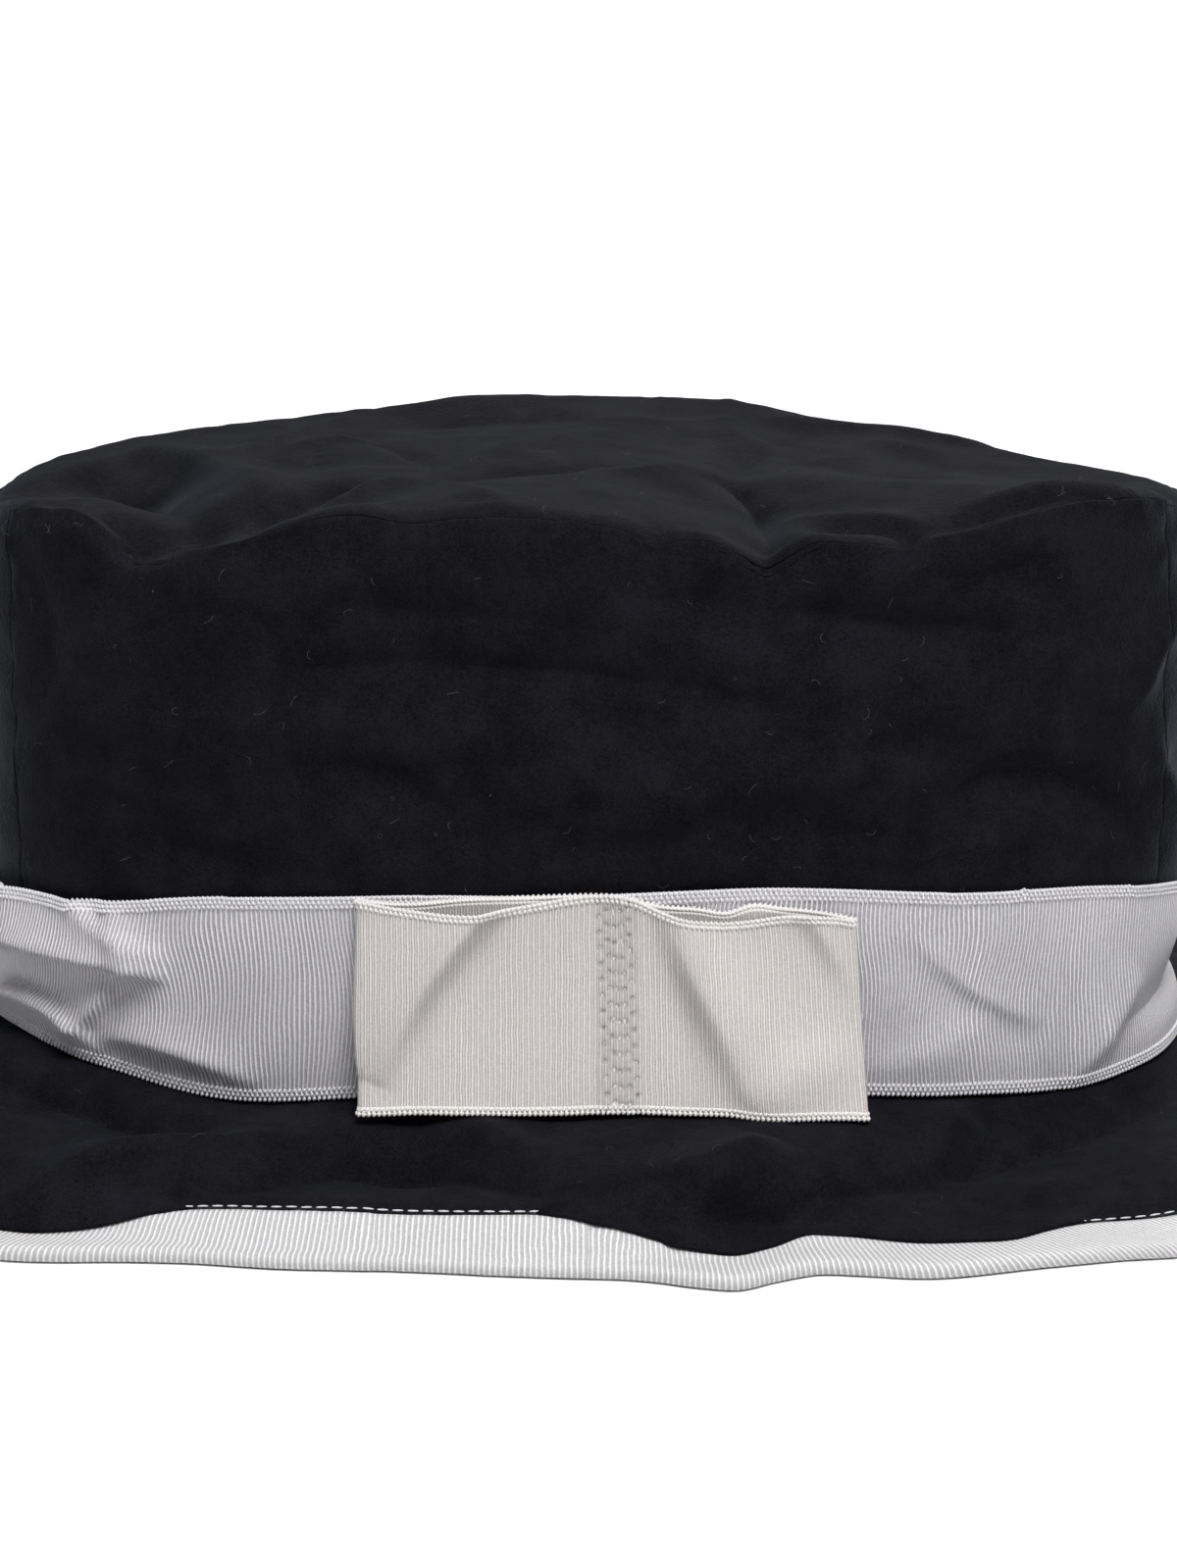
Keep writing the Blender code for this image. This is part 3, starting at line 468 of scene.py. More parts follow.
def crown_panel(name, low, high, step):
    """A side panel: the crown's surface between two shares, turned in at its seams, its foot on the brim.

    The turned-in edge of the cloth lifts it just below the tip, as a bell with its top on the seam.
    """
    columns = with_edges((high - low) * around_foot - 2 * SEAM_GAP, step, True, True)
    share = low + (columns + SEAM_GAP) / around_foot
    rows = with_edges(CROWN_HEIGHT, step, False, True) / CROWN_HEIGHT
    up = CROWN_LIFT / CROWN_HEIGHT + rows * (1 - (CROWN_LIFT + SEAM_GAP) / CROWN_HEIGHT)
    grid = crown_points(share, up)
    normal = surface_directions(grid)
    beside = np.minimum(columns, columns[-1] - columns)[:, None]
    below = (1 - rows) * CROWN_HEIGHT
    near_seams = np.exp(-beside / WALL_PUCKER_REACH) + np.exp(-below / WALL_PUCKER_REACH)
    ridge = SEAM_RIDGE * np.exp(-(((below - SEAM_ROUND) / SEAM_RIDGE_WIDTH) ** 2))
    out = CROWN_CLOTH / 2 + ripples(grid * SLUMP, WALL_WAVES, 5)
    out = out + ripples(grid, WALL_PUCKERS, 7) * near_seams - seam_sink(beside) - seam_sink(below) + ridge
    grid = grid + normal * out[..., None]
    piece = thicken(add_mesh(name, grid, grid_faces(*grid.shape[:2]), cloth), CROWN_CLOTH, -1)
    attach(piece, "root")
    return piece, grid, normal


front_panel, front_grid, front_out = crown_panel(
    "crown_front_cloth", -SIDE_SEAM, SIDE_SEAM, FRONT_STEP
)
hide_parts("crown_front")
back_panel, back_grid, back_out = crown_panel(
    "crown_back_cloth", SIDE_SEAM, 1 - SIDE_SEAM, BACK_STEP
)
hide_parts("crown_back")

# Crown tip: one flat oval of the same cloth, sewn round its edge to the side panels. It has sunk into soft
# hollows and crumpled ridges, because nothing stiffens it.
TIP_STEP = 0.0011
TIP_WAVES = ((0.00050, 0.024), (0.00016, 0.011))
TIP_PUCKERS = ((0.00020, 0.0045),)
TIP_PUCKER_REACH = 0.005
TIP_SEWN = 0.004
tip_length = HALF_ROUND + CROWN_HALF_DEPTH - EDGE_ROUND
tip_columns = round(around_foot / TIP_STEP)
tip_in = with_edges(tip_length - SEAM_GAP, TIP_STEP, True, False)[:-1]
tip_grid = crown_points(np.arange(tip_columns) / tip_columns, 1 + (SEAM_GAP + tip_in) / tip_length)
tip_normal = surface_directions(tip_grid, closed=True)
tip_soft = ripples(tip_grid, TIP_WAVES, 8)
tip_soft = tip_soft + ripples(tip_grid, TIP_PUCKERS, 10) * np.exp(-tip_in / TIP_PUCKER_REACH)
tip_out = CROWN_CLOTH / 2 + tip_soft * np.clip(tip_in / TIP_SEWN, 0, 1) - seam_sink(tip_in)
tip_grid = tip_grid + tip_normal * tip_out[..., None]
tip_points = np.concatenate([tip_grid.reshape(-1, 3), tip_grid[:, -1].mean(axis=0, keepdims=True)])
tip_last = np.arange(tip_columns) * tip_grid.shape[1] + tip_grid.shape[1] - 1
tip_fan = np.stack([tip_last, np.roll(tip_last, -1), np.full(tip_columns, len(tip_points) - 1)], axis=-1)
tip_faces = [*grid_faces(*tip_grid.shape[:2], closed=True).tolist(), *tip_fan.tolist()]
tip = thicken(add_mesh("crown_tip_cloth", tip_points, tip_faces, cloth), CROWN_CLOTH, -1)
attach(tip, "root")
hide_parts("crown_tip")

# Brim: two layers of the cloth sewn together, wide and limp. It droops from a soft shoulder to the floor at
# the front and lies lower at the sides; near the rim the cloth puffs over the edge of its binding.
BRIM_WIDTH = 0.0615
BRIM_TURN_IN = 0.0032
BRIM_CLOTH = 0.0020
BRIM_WAVES = ((0.00035, 0.022), (0.00012, 0.007))
SHOULDER_SOFTNESS = 0.07
SETTLE_SOFTNESS = 0.0022
RIM_REST = 0.0016
BINDING_WIDTH = 0.0122
UNDER_TAPE = 0.0007
SLOPE_STEPS = 240

# Columns a step apart at a rim 1.45 times as long as the crown's foot. Rows run out to the tape's edge and
# on to the rim, and the waves fade in over some of them from the crown and out towards the tape
BRIM_STEP = 0.0011
RIM_TO_FOOT = 1.45
TAPE_ROW = 45
ROWS_UNDER_TAPE = 11
RIM_ROW = TAPE_ROW + ROWS_UNDER_TAPE
RIM_STEPS = 5
WAVES_IN, WAVES_OUT = 6, 7

# The lip where the cloth puffs over the tape: its rise, the rounding of its edge, and how it tucks back
LIP_RISE = 0.0014
LIP_RISE_ROWS = 5.0
LIP_ROUND = 0.00045
LIP_FULL = 0.0008
LIP_STEPS = 7
LIP_TUCK = 0.25
LIP_FOOT = 0.1

# Share round the hat, slope at the crown's foot, place of the shoulder, slope beyond it, in degrees
ROUND_THE_BRIM = (
    (0.000, 5.5, 0.77, 56.0), (0.020, 3.0, 0.65, 51.0), (0.040, 3.0, 0.55, 47.0),
    (0.062, 3.0, 0.59, 43.0), (0.090, 6.0, 0.58, 30.0), (0.120, 5.5, 0.53, 23.5),
    (0.165, 1.2, 0.62, 29.5), (0.210, 3.0, 0.50, 24.0), (0.260, 8.0, 0.48, 26.0),
    (0.330, 14.0, 0.55, 24.0), (0.420, 18.0, 0.60, 22.0), (0.500, 18.0, 0.60, 21.0),
    (0.600, 17.0, 0.60, 21.0), (0.680, 14.0, 0.55, 26.0), (0.750, 12.0, 0.50, 29.0),
    (0.800, 12.0, 0.50, 31.0), (0.850, 4.0, 0.58, 36.0), (0.890, 3.8, 0.76, 47.0),
    (0.950, 5.2, 0.77, 56.0),
)

# Share round the hat, how far the limp rim has spread beyond its smooth run there, in metres
RIM_REACH = (
    (0.000, -0.0034), (0.010, -0.0020), (0.020, 0.0004), (0.030, 0.0038), (0.040, 0.0055),
    (0.050, 0.0012), (0.060, -0.0024), (0.070, -0.0020), (0.085, -0.0002), (0.115, -0.0016),
    (0.130, -0.0006), (0.145, 0.0030), (0.165, 0.0045), (0.200, 0.0030), (0.260, 0.0000),
    (0.500, 0.0000), (0.760, 0.0000), (0.800, 0.0050), (0.840, 0.0070), (0.860, 0.0052),
    (0.870, 0.0022), (0.880, -0.0014), (0.895, -0.0048), (0.920, -0.0054), (0.960, -0.0052),
    (0.985, -0.0046),
)
RIM_REACH_FROM = 0.45
RIM_REACH_FULL = 0.85

# On the brim a pair is share round, share of its width outwards
BRIM_FOLDS = (
    (0.04, 0.86, 0.118, 0.33, 0.235, 0.15, 2.2, 0.6, -1.75, 1.2),
    (0.888, 0.84, 0.938, 0.36, 0.998, 0.84, 2.2, 0.45, -1.6, 1.2),
    (0.95, 0.24, 0.976, 0.36, 0.993, 0.8, 0.35, 0.7, 0.64, 1.4),
    (0.928, 0.3, 0.948, 0.37, 0.966, 0.28, 0.45, 0.6, -0.9, 1.5),
    (0.8, 0.32, 0.85, 0.22, 0.9, 0.42, 1.1, 0.38, -1.4, 1.3),
    (0.856, 0.84, 0.882, 0.48, 0.914, 0.34, 0.36, 0.8, 1.5, 1.4),
    (1.018, 0.78, 1.036, 0.59, 1.056, 0.38, 0.4, 0.6, 1.45, 1.4),
    (1.008, 0.86, 1.034, 0.66, 1.062, 0.8, 0.8, 0.35, -1.2, 1.4),
    (1.136, 0.02, 1.124, 0.17, 1.106, 0.42, 0.32, 0.35, -1.2, 1.4),
    (1.128, 0.0, 1.112, 0.2, 1.092, 0.48, 0.45, 0.35, 0.55, 1.5),
    (0.33, 0.2, 0.345, 0.5, 0.35, 0.9, 2.0, 2.0, 0.8, 1.5),
    (0.44, 0.25, 0.45, 0.55, 0.455, 0.9, 2.2, 2.2, 0.7, 1.5),
    (0.58, 0.25, 0.575, 0.55, 0.57, 0.9, 2.0, 2.4, 0.8, 1.5),
    (0.69, 0.25, 0.68, 0.55, 0.675, 0.9, 2.0, 2.0, 0.7, 1.5),
)

# Share round the hat, how far the cloth puffs out over the tape there, in metres
LIP = (
    (0.000, 0.0019), (0.010, 0.0019), (0.022, 0.0016), (0.035, 0.0010), (0.050, 0.0024), (0.061, 0.0005),
    (0.072, 0.0006), (0.085, 0.0020), (0.098, 0.0035), (0.110, 0.0050), (0.119, 0.0024), (0.130, 0.0000),
    (0.300, 0.0000), (0.500, 0.0000), (0.700, 0.0000), (0.780, 0.0020), (0.820, 0.0026), (0.845, 0.0036),
    (0.862, 0.0044), (0.872, 0.0032), (0.881, 0.0018), (0.893, 0.0002), (0.905, 0.0000), (0.940, 0.0000),
    (0.988, 0.0004),
)


def settled(height, lowest, softness):
    """Heights kept from going below the lowest, with a soft bend on the way there."""
    above = height - lowest
    bend = np.clip(above + softness, 0, 2 * softness) ** 2 / (4 * softness)
    return lowest + np.where(above > softness, above, bend)


def brim_points(share, out_share):
    """The middle of the brim's cloth: down each column the slope eases about the shoulder and is summed."""
    foot, out, around = foot_outline(share)
    at_foot, shoulder, at_edge = (round_value(ROUND_THE_BRIM, share, i)[:, None] for i in (1, 2, 3))
    steps = np.linspace(-BRIM_TURN_IN / BRIM_WIDTH, 1, SLOPE_STEPS + 1)
    ease = 0.5 + 0.5 * np.tanh((steps - shoulder) / SHOULDER_SOFTNESS)
    slope = np.radians(at_foot + (at_edge - at_foot) * ease)
    place = np.interp(out_share, steps, np.arange(SLOPE_STEPS + 1))
    before = np.minimum(place.astype(int), SLOPE_STEPS - 1)

    def at_rows(values):
        """Values of a column read between its steps."""
        return values[:, before] + (values[:, before + 1] - values[:, before]) * (place - before)

    def summed(values):
        """Running sum of a column's values times its steps' length, 0 at the crown's foot."""
        total = np.cumsum(values, axis=1) * BRIM_WIDTH * (steps[1] - steps[0])
        return at_rows(total - total[:, [np.argmin(np.abs(steps))]])

    run, fall, slope = summed(np.cos(slope)), summed(np.sin(slope)), at_rows(slope)
    height = FOOT_HEIGHT * round_value(ROUND_THE_HAT, share)[:, None] - fall
    far = eased((out_share - RIM_REACH_FROM) / (RIM_REACH_FULL - RIM_REACH_FROM))
    run = run + round_value(RIM_REACH, share)[:, None] * far
    point = raised(foot[:, None] + run[..., None] * out[:, None], height)
    normal = raised(np.sin(slope)[..., None] * out[:, None], np.cos(slope))
    around_share, out_share = np.broadcast_arrays(share[:, None], out_share)
    bump = fold_height(BRIM_FOLDS, around_share, out_share, around, BRIM_WIDTH)
    point = point + normal * (bump * np.clip(out_share / FOLD_FREE, 0, 1) ** 2)[..., None]
    point[..., 2] = settled(point[..., 2], RIM_REST, SETTLE_SOFTNESS)
    return point + CROWN_AXIS


brim_columns = round(around_foot * RIM_TO_FOOT / BRIM_STEP)
brim_share = np.arange(brim_columns) / brim_columns
tape_in = 1 - BINDING_WIDTH / BRIM_WIDTH
brim_middle = brim_points(brim_share, np.concatenate([
    np.linspace(-BRIM_TURN_IN / BRIM_WIDTH, tape_in, TAPE_ROW + 1),
    np.linspace(tape_in, 1, ROWS_UNDER_TAPE + 1)[1:],
]))
brim_up = -surface_directions(brim_middle, closed=True)
rim_out = unit(brim_middle[:, -1] - brim_middle[:, -2])


def along_brim(values, rows):
    """Values of a grid read between its rows, at row numbers that may differ by column."""
    rows = np.broadcast_to(rows, (values.shape[0], np.shape(rows)[-1]))
    before = np.clip(rows.astype(int), 0, values.shape[1] - 2)
    part = (rows - before)[..., None]
    column = np.arange(values.shape[0])[:, None]
    return values[column, before] * (1 - part) + values[column, before + 1] * part


def off_brim(rows, height):
    """Points at row numbers that stand off the brim's middle by a height, or lie under it where negative."""
    return along_brim(brim_middle, rows) + along_brim(brim_up, rows) * height


def round_rim(distance, steps):
    """Half a circle round the brim's edge, from above it to below, at a distance from its middle."""
    turn = np.linspace(np.pi / 2, -np.pi / 2, steps)[1:-1, None]
    way = np.cos(turn) * rim_out[:, None] + np.sin(turn) * brim_up[:, -1:]
    return brim_middle[:, -1:] + distance * way


# The section goes over the top to the lip, back under it, out under the tape, round the edge and back below
lip = np.clip(round_value(LIP, brim_share), 0, None)[:, None]
lip_full = np.clip(lip / LIP_FULL, 0, 1)
top_rows = np.arange(TAPE_ROW - 1)
to_tape = TAPE_ROW - top_rows
top_free = np.clip(top_rows / WAVES_IN, 0, 1) * np.clip(to_tape / WAVES_OUT, 0, 1)
top_height = BRIM_CLOTH / 2 + ripples(brim_middle, BRIM_WAVES, 11)[:, top_rows] * top_free
top_height = top_height + LIP_RISE * lip_full * np.exp(-((to_tape / LIP_RISE_ROWS) ** 2))
top = off_brim(top_rows, top_height[..., None])
bend = np.linspace(np.pi / 2, -np.pi / 2, LIP_STEPS)
lip_out = lip - LIP_ROUND * lip_full + LIP_ROUND * lip_full * np.cos(bend)
lip_out = lip_out / (BINDING_WIDTH / ROWS_UNDER_TAPE)
lip_height = BRIM_CLOTH / 2 + LIP_RISE * lip_full - LIP_ROUND * lip_full * (1 - np.sin(bend))
lip_rows = TAPE_ROW + lip_out - LIP_TUCK * (bend[:1] - bend) * (1 - lip_full)
under_rows = np.arange(RIM_ROW, -1, -2)
brim_grid = np.concatenate([
    top,
    off_brim(lip_rows, lip_height[..., None]),
    off_brim(np.array([TAPE_ROW - LIP_FOOT, *range(TAPE_ROW + 1, RIM_ROW + 1)]), UNDER_TAPE),
    round_rim(UNDER_TAPE, RIM_STEPS),
    off_brim(under_rows, -np.where(under_rows >= TAPE_ROW, UNDER_TAPE, BRIM_CLOTH / 2)[:, None]),
], axis=1)
brim_faces = grid_faces(*brim_grid.shape[:2], closed=True, section_closed=True)[:, ::-1]
brim = add_mesh("brim_cloth", brim_grid, brim_faces, cloth)
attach(brim, "root")
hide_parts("brim")

# Binding: white ribbed tape folded over the brim's edge and sewn through. Its ribs run across it, and lean
# where the tape is pulled round the rim.
TAPE_THICK = 0.0005
TAPE_CLEAR = 0.00125
TAPE_EDGE_CLEAR = 0.00102
TAPE_WIDTH = 0.0270
TAPE_RIB = 0.00104
TAPE_NOSE_STEPS = 9
# The tape's white on its rib crests, with a painted highlight, and the painted shade of its grooves
WHITE, WHITE_GROOVE_SHADE = (0.84, 0.83, 0.83), (0.37, 0.365, 0.38)

# Share round the hat, lean of the tape's ribs there, metres along for each metre across
TAPE_LEAN = (
    (0.000, 0.00), (0.050, -0.05), (0.090, -0.20), (0.130, -0.55), (0.180, -0.60), (0.350, 0.00),
    (0.500, 0.00), (0.700, 0.10), (0.840, 0.25), (0.880, 0.05), (0.940, 0.00),
)

# Every ribbon's ribs: how far they wander, the thread wound round them, and the weave's share of the relief.
# The shades paint shade between the wound turns and in the weave's hollows, and set how low on a rib the
# groove's painted shade begins
WANDER_NOISE, WEAVE_NOISE = (160.0, 3.0), (2400.0, 2.0)
RIB_WANDER = 0.6
WINDING_PITCH, WINDING_SHADE = 0.4, 0.14
WEAVE_HEIGHT, WEAVE_SHADE, RIB_SHADE_FROM = 0.35, 0.5, 0.25

# The beads of a woven edge: size across, size along as a share of a rib, lean, relief and roundness
EDGE_BEAD = 0.00084
BEAD_PITCH, BEAD_LEAN = 0.72, 900.0
BEAD_HEIGHT, BEAD_FOOT, BEAD_ROUNDNESS = 0.9, 0.4, 0.6
HOLE_SHARE, HOLE_SHADE = 0.9, 0.5


def ribbed_ribbon(
    name, *, width, rib, depth, narrow, between, roughness, thread, groove_shade, edge_thread, edge_rows
):
    """Ribbed ribbon: round ribs a rib apart across it, darker in the grooves, and a beaded woven edge.

    The UV map's first number is metres along the ribbon and its second metres across it. A rib is
    |cos| ** narrow of the way along, with a weaker one, |sin| ** narrow, between each two, and its colour
    runs from the groove colour, painted shade in the grooves, to the thread colour, a painted highlight on
    the crests. A bead of the edge is |cos| along times |sin| of the distance from the edge, in edge_rows
    rows. A point's stitched attribute darkens it towards the groove's painted shade and flattens its ribs.
    """
    material, tree = new_material(name, {
        "Roughness": roughness,
        "Specular IOR Level": 0.2,
        "Sheen Weight": 0.04,
        "Sheen Roughness": 0.4,
    })

    def times(value, factor):
        """Value times factor."""
        return reckon(tree, "MULTIPLY", value, factor)

    def crests(wave, way):
        """The wave of the way, sine or cosine, with its troughs turned up into crests."""
        return reckon(tree, "ABSOLUTE", reckon(tree, wave, way))

    uv = tree.nodes.new("ShaderNodeUVMap").outputs["UV"]
    along, across, _ = add_node(tree, "ShaderNodeSeparateXYZ", None, {0: uv}).node.outputs
    uneven, woven = noise(tree, *WANDER_NOISE), noise(tree, *WEAVE_NOISE)
    way = times(reckon(tree, "MULTIPLY_ADD", uneven, rib * RIB_WANDER, along), np.pi / rib)
    main, weaker = (reckon(tree, "POWER", crests(wave, way), narrow) for wave in ("COSINE", "SINE"))
    ribs = reckon(tree, "MAXIMUM", main, times(weaker, between))
    from_edge = reckon(tree, "MINIMUM", across, reckon(tree, "SUBTRACT", width, across))
    run = times(along, np.pi / (rib * BEAD_PITCH))
    beads = crests("COSINE", reckon(tree, "MULTIPLY_ADD", from_edge, BEAD_LEAN, run))
    beads = times(crests("SINE", times(from_edge, np.pi / EDGE_BEAD)), beads)
    at_edge = reckon(tree, "LESS_THAN", from_edge, EDGE_BEAD * edge_rows)
    stitched = add_node(tree, "ShaderNodeAttribute", {"attribute_name": "stitched"}, output=2)
    relief = reckon(tree, "MULTIPLY_ADD", woven, WEAVE_HEIGHT, ribs)
    height = add_node(tree, "ShaderNodeMix", {"data_type": "FLOAT"}, {
        0: at_edge,
        2: times(relief, reckon(tree, "SUBTRACT", 1.0, stitched)),
        3: reckon(tree, "MULTIPLY_ADD", beads, BEAD_HEIGHT, BEAD_FOOT),
    })
    wound = crests("SINE", times(across, np.pi / (rib * WINDING_PITCH)))
    # lit is the share of painted highlight, lowered between the wound turns and in the weave's hollows as
    # painted shade
    lit = times(ribs, reckon(tree, "MULTIPLY_ADD", wound, WINDING_SHADE, 1 - WINDING_SHADE))
    lit = reckon(tree, "MULTIPLY_ADD", woven, WEAVE_SHADE, reckon(tree, "SUBTRACT", lit, RIB_SHADE_FROM))
    edge_colour = mixed(tree, reckon(tree, "POWER", beads, BEAD_ROUNDNESS), thread, edge_thread)
    # Rib crests get the thread colour as a painted highlight, the grooves the groove colour as painted shade
    colour = mixed(tree, at_edge, mixed(tree, lit, groove_shade, thread), edge_colour)
    colour = mixed(tree, times(stitched, HOLE_SHARE), colour, tuple(HOLE_SHADE * part for part in groove_shade))
    return surfaced(material, colour, height, depth)


def side_by_side(*values):
    """Points whose parts are the given values, each stretched over the grid that they make together."""
    return np.stack(np.broadcast_arrays(*values), axis=-1)


def ribbon_uv(grid, width, lean):
    """UV of a closed ribbon's corners: metres along its middle row and metres across, shifted by a lean."""
    grid, lean = np.concatenate([grid, grid[:1]]), np.concatenate([lean, lean[:1]])
    middle = grid[:, grid.shape[1] // 2]
    along = np.concatenate([[0], np.cumsum(np.linalg.norm(np.diff(middle, axis=0), axis=1))])
    across = np.linspace(0, width, grid.shape[1])
    uv = side_by_side(along[:, None] + lean, across)
    return np.stack([uv[:-1, :-1], uv[1:, :-1], uv[1:, 1:], uv[:-1, 1:]], axis=-2).reshape(-1, 4, 2)


white_tape = ribbed_ribbon(
    "white_ribbed_tape", width=TAPE_WIDTH, rib=TAPE_RIB, depth=0.00020, narrow=2.6, between=0.2,
    roughness=0.55, thread=WHITE, groove_shade=WHITE_GROOVE_SHADE, edge_thread=WHITE, edge_rows=0,
)
over = np.arange(TAPE_ROW, RIM_ROW + 1)
tape_clear = np.where(over == TAPE_ROW, TAPE_EDGE_CLEAR, TAPE_CLEAR)[:, None]
tape_grid = np.concatenate([
    off_brim(over, tape_clear),
    round_rim(TAPE_CLEAR, TAPE_NOSE_STEPS),
    off_brim(over, -tape_clear)[:, ::-1],
], axis=1)
tape_grid[..., 2] = np.maximum(tape_grid[..., 2], TAPE_THICK / 2)
tape_lean = round_value(TAPE_LEAN, brim_share)[:, None] * np.linspace(0, TAPE_WIDTH, tape_grid.shape[1])
tape_faces = grid_faces(*tape_grid.shape[:2], closed=True)[:, ::-1]
tape_uv = ribbon_uv(tape_grid, TAPE_WIDTH, tape_lean)[:, ::-1]
tape = thicken(add_mesh("binding_tape", tape_grid, tape_faces, white_tape, tape_uv), TAPE_THICK, 0)
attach(tape, "root")
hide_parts("brim_binding")

# Topstitching: white sewing thread along the binding's inner edge, which holds the folded tape to the brim.
# It is one stitch after another on the cloth, and goes under the lip where the cloth puffs out.
STITCH_PITCH = 0.00275
STITCH_LENGTH = 0.0022
STITCH_THICK = 0.00034
STITCH_WIDE = 1.3
STITCH_SUNK = 0.45
STITCH_ROW = TAPE_ROW - 1.05
BEAD_SIDES = 6
BEAD_TILTS = (-0.27, 0, 0.27)
# Spun fibre's strands: the noise, the painted shade and lighter tops it gives the colour, and its bump
STRAND_NOISE = (3600.0, 2.0)
STRAND_SHADES = (0.74, 1.26)
STRAND_DEPTH, STRAND_STRENGTH = 0.00008, 0.8


def spun_fibre(name, colour, roughness):
    """Spun fibre: fine noise in colour and bump, with painted shade in its hollows and lighter strands around
    its colour.
    """
    material, tree = new_material(name, {"Roughness": roughness, "Sheen Weight": 0.05})
    strands = noise(tree, *STRAND_NOISE)
    dark, light = (tuple(shade * part for part in colour) for shade in STRAND_SHADES)
    return surfaced(material, mixed(tree, strands, dark, light), strands, STRAND_DEPTH, STRAND_STRENGTH)


def bead_cloud(name, centres, ways, sides, ups, size, material):
    """Small rounded beads in one mesh: each is a ball stretched along its own three directions."""
    turn = np.linspace(0, 2 * np.pi, BEAD_SIDES, endpoint=False)[:, None]
    tilt = np.array(BEAD_TILTS) * np.pi
    ball = side_by_side(np.sin(tilt), np.cos(tilt) * np.cos(turn), np.cos(tilt) * np.sin(turn))
    ball = np.concatenate([ball.reshape(-1, 3), [[-1, 0, 0], [1, 0, 0]]])
    points = centres[:, None] + ball @ (np.stack([ways, sides, ups], axis=1) * np.reshape(size, (3, 1)) / 2)
    first = len(ball) * np.arange(len(centres))[:, None, None]
    body = grid_faces(BEAD_SIDES, len(tilt), closed=True)
    ring = len(tilt) * np.arange(BEAD_SIDES)
    after = np.roll(ring, -1)
    low_end, high_end = np.full((2, BEAD_SIDES), [[len(ball) - 2], [len(ball) - 1]])
    caps = np.concatenate([
        np.stack([low_end, after, ring], axis=-1),
        np.stack([high_end, ring + len(tilt) - 1, after + len(tilt) - 1], axis=-1),
    ])
    faces = [*(body + first).reshape(-1, 4).tolist(), *(caps + first).reshape(-1, 3).tolist()]
    return add_mesh(name, points, faces, material)


def even_along(line, pitch, *others):
    """Places a pitch apart round a closed line: the points, the directions there, and other values there."""
    line, *others = ([*values, values[0]] for values in (line, *others))
    at = np.concatenate([[0], np.cumsum(np.linalg.norm(np.diff(line, axis=0), axis=1))])
    count = round(at[-1] / pitch)
    places = (np.arange(count) + 0.5) * at[-1] / count
    point, way, *read = [
        np.stack([np.interp(places, at, column) for column in np.array(values).T], axis=-1)
        for values in (line, np.gradient(np.array(line), axis=0), *others)
    ]
    return [point, unit(way), *read]


white_thread = spun_fibre("white_thread", (0.62, 0.62, 0.65), 0.6)
stitch_line, stitch_up = (
    along_brim(values, np.array([STITCH_ROW]))[:, 0] for values in (brim_middle, brim_up)
)
stitch_middle, stitch_way, stitch_out = even_along(stitch_line, STITCH_PITCH, stitch_up)
stitch_middle = stitch_middle + stitch_out * (BRIM_CLOTH / 2 + STITCH_THICK * STITCH_SUNK)
topstitch = bead_cloud(
    "brim_topstitch", stitch_middle, stitch_way, np.cross(stitch_out, stitch_way), stitch_out,
    (STITCH_LENGTH, STITCH_THICK * STITCH_WIDE, STITCH_THICK), white_thread,
)
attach(topstitch, "root")

# Hat band: a silver-grey ribbed ribbon round the crown's foot, with a woven edge above and below. It stands
# where the wall stands and creases where the wall has folded in at the sides.
RIBBON_WIDTH = 0.0385
BAND_OUT = 0.00203
BAND_THICK = 0.0006
BAND_LIFT = 0.0015
BAND_STEP = 0.0010
BAND_ROWS = 34
BAND_RIB = 0.00087
BAND_WAVES = ((0.00018, 0.020),)
BAND_FOLD_LIMITS = (-0.0004, 0.0052)
# The band's silver on its rib crests, with a painted highlight, the painted shade of its grooves, and its
# woven edge's grey
SILVER, SILVER_GROOVE_SHADE, SILVER_EDGE = (0.99, 0.97, 1.0), (0.355, 0.345, 0.37), (0.74, 0.725, 0.75)

# How far the band's ribs wander along it, as waves over a strip of this height, and not at its sewn edges
BAND_SWAY = ((0.0016, 0.028),)
SWAY_HEIGHT = 0.030
SWAY_BLUNTNESS = 0.5

# On the band a pair is share round, share up the wall behind it
BAND_FOLDS = (
    (0.745, 0.125, 0.815, 0.2, 0.866, 0.215, 0.6, 0.1, 1.45, 1.3),
    (0.765, 0.02, 0.812, 0.085, 0.84, 0.035, 0.16, 0.45, 0.85, 1.3),
    (0.822, 0.03, 0.836, 0.105, 0.844, 0.18, 0.4, 0.14, 0.58, 1.3),
    (0.838, 0.06, 0.864, 0.085, 0.896, 0.04, 0.45, 0.16, 0.6, 1.4),
    (0.83, 0.34, 0.838, 0.29, 0.866, 0.255, 0.16, 0.45, 0.62, 1.3),
    (0.842, 0.33, 0.85, 0.27, 0.853, 0.16, 0.4, 0.18, 0.55, 1.3),
    (0.79, 0.33, 0.8, 0.27, 0.798, 0.17, 0.3, 0.3, 0.4, 1.4),
    (0.1, 0.32, 0.122, 0.2, 0.15, 0.13, 0.55, 0.22, 0.42, 1.4),
    (0.19, 0.18, 0.174, 0.09, 0.155, 0.01, 0.3, 0.6, 0.45, 1.4),
    (0.08, 0.06, 0.105, 0.08, 0.13, 0.15, 0.4, 0.6, 0.25, 1.6),
)

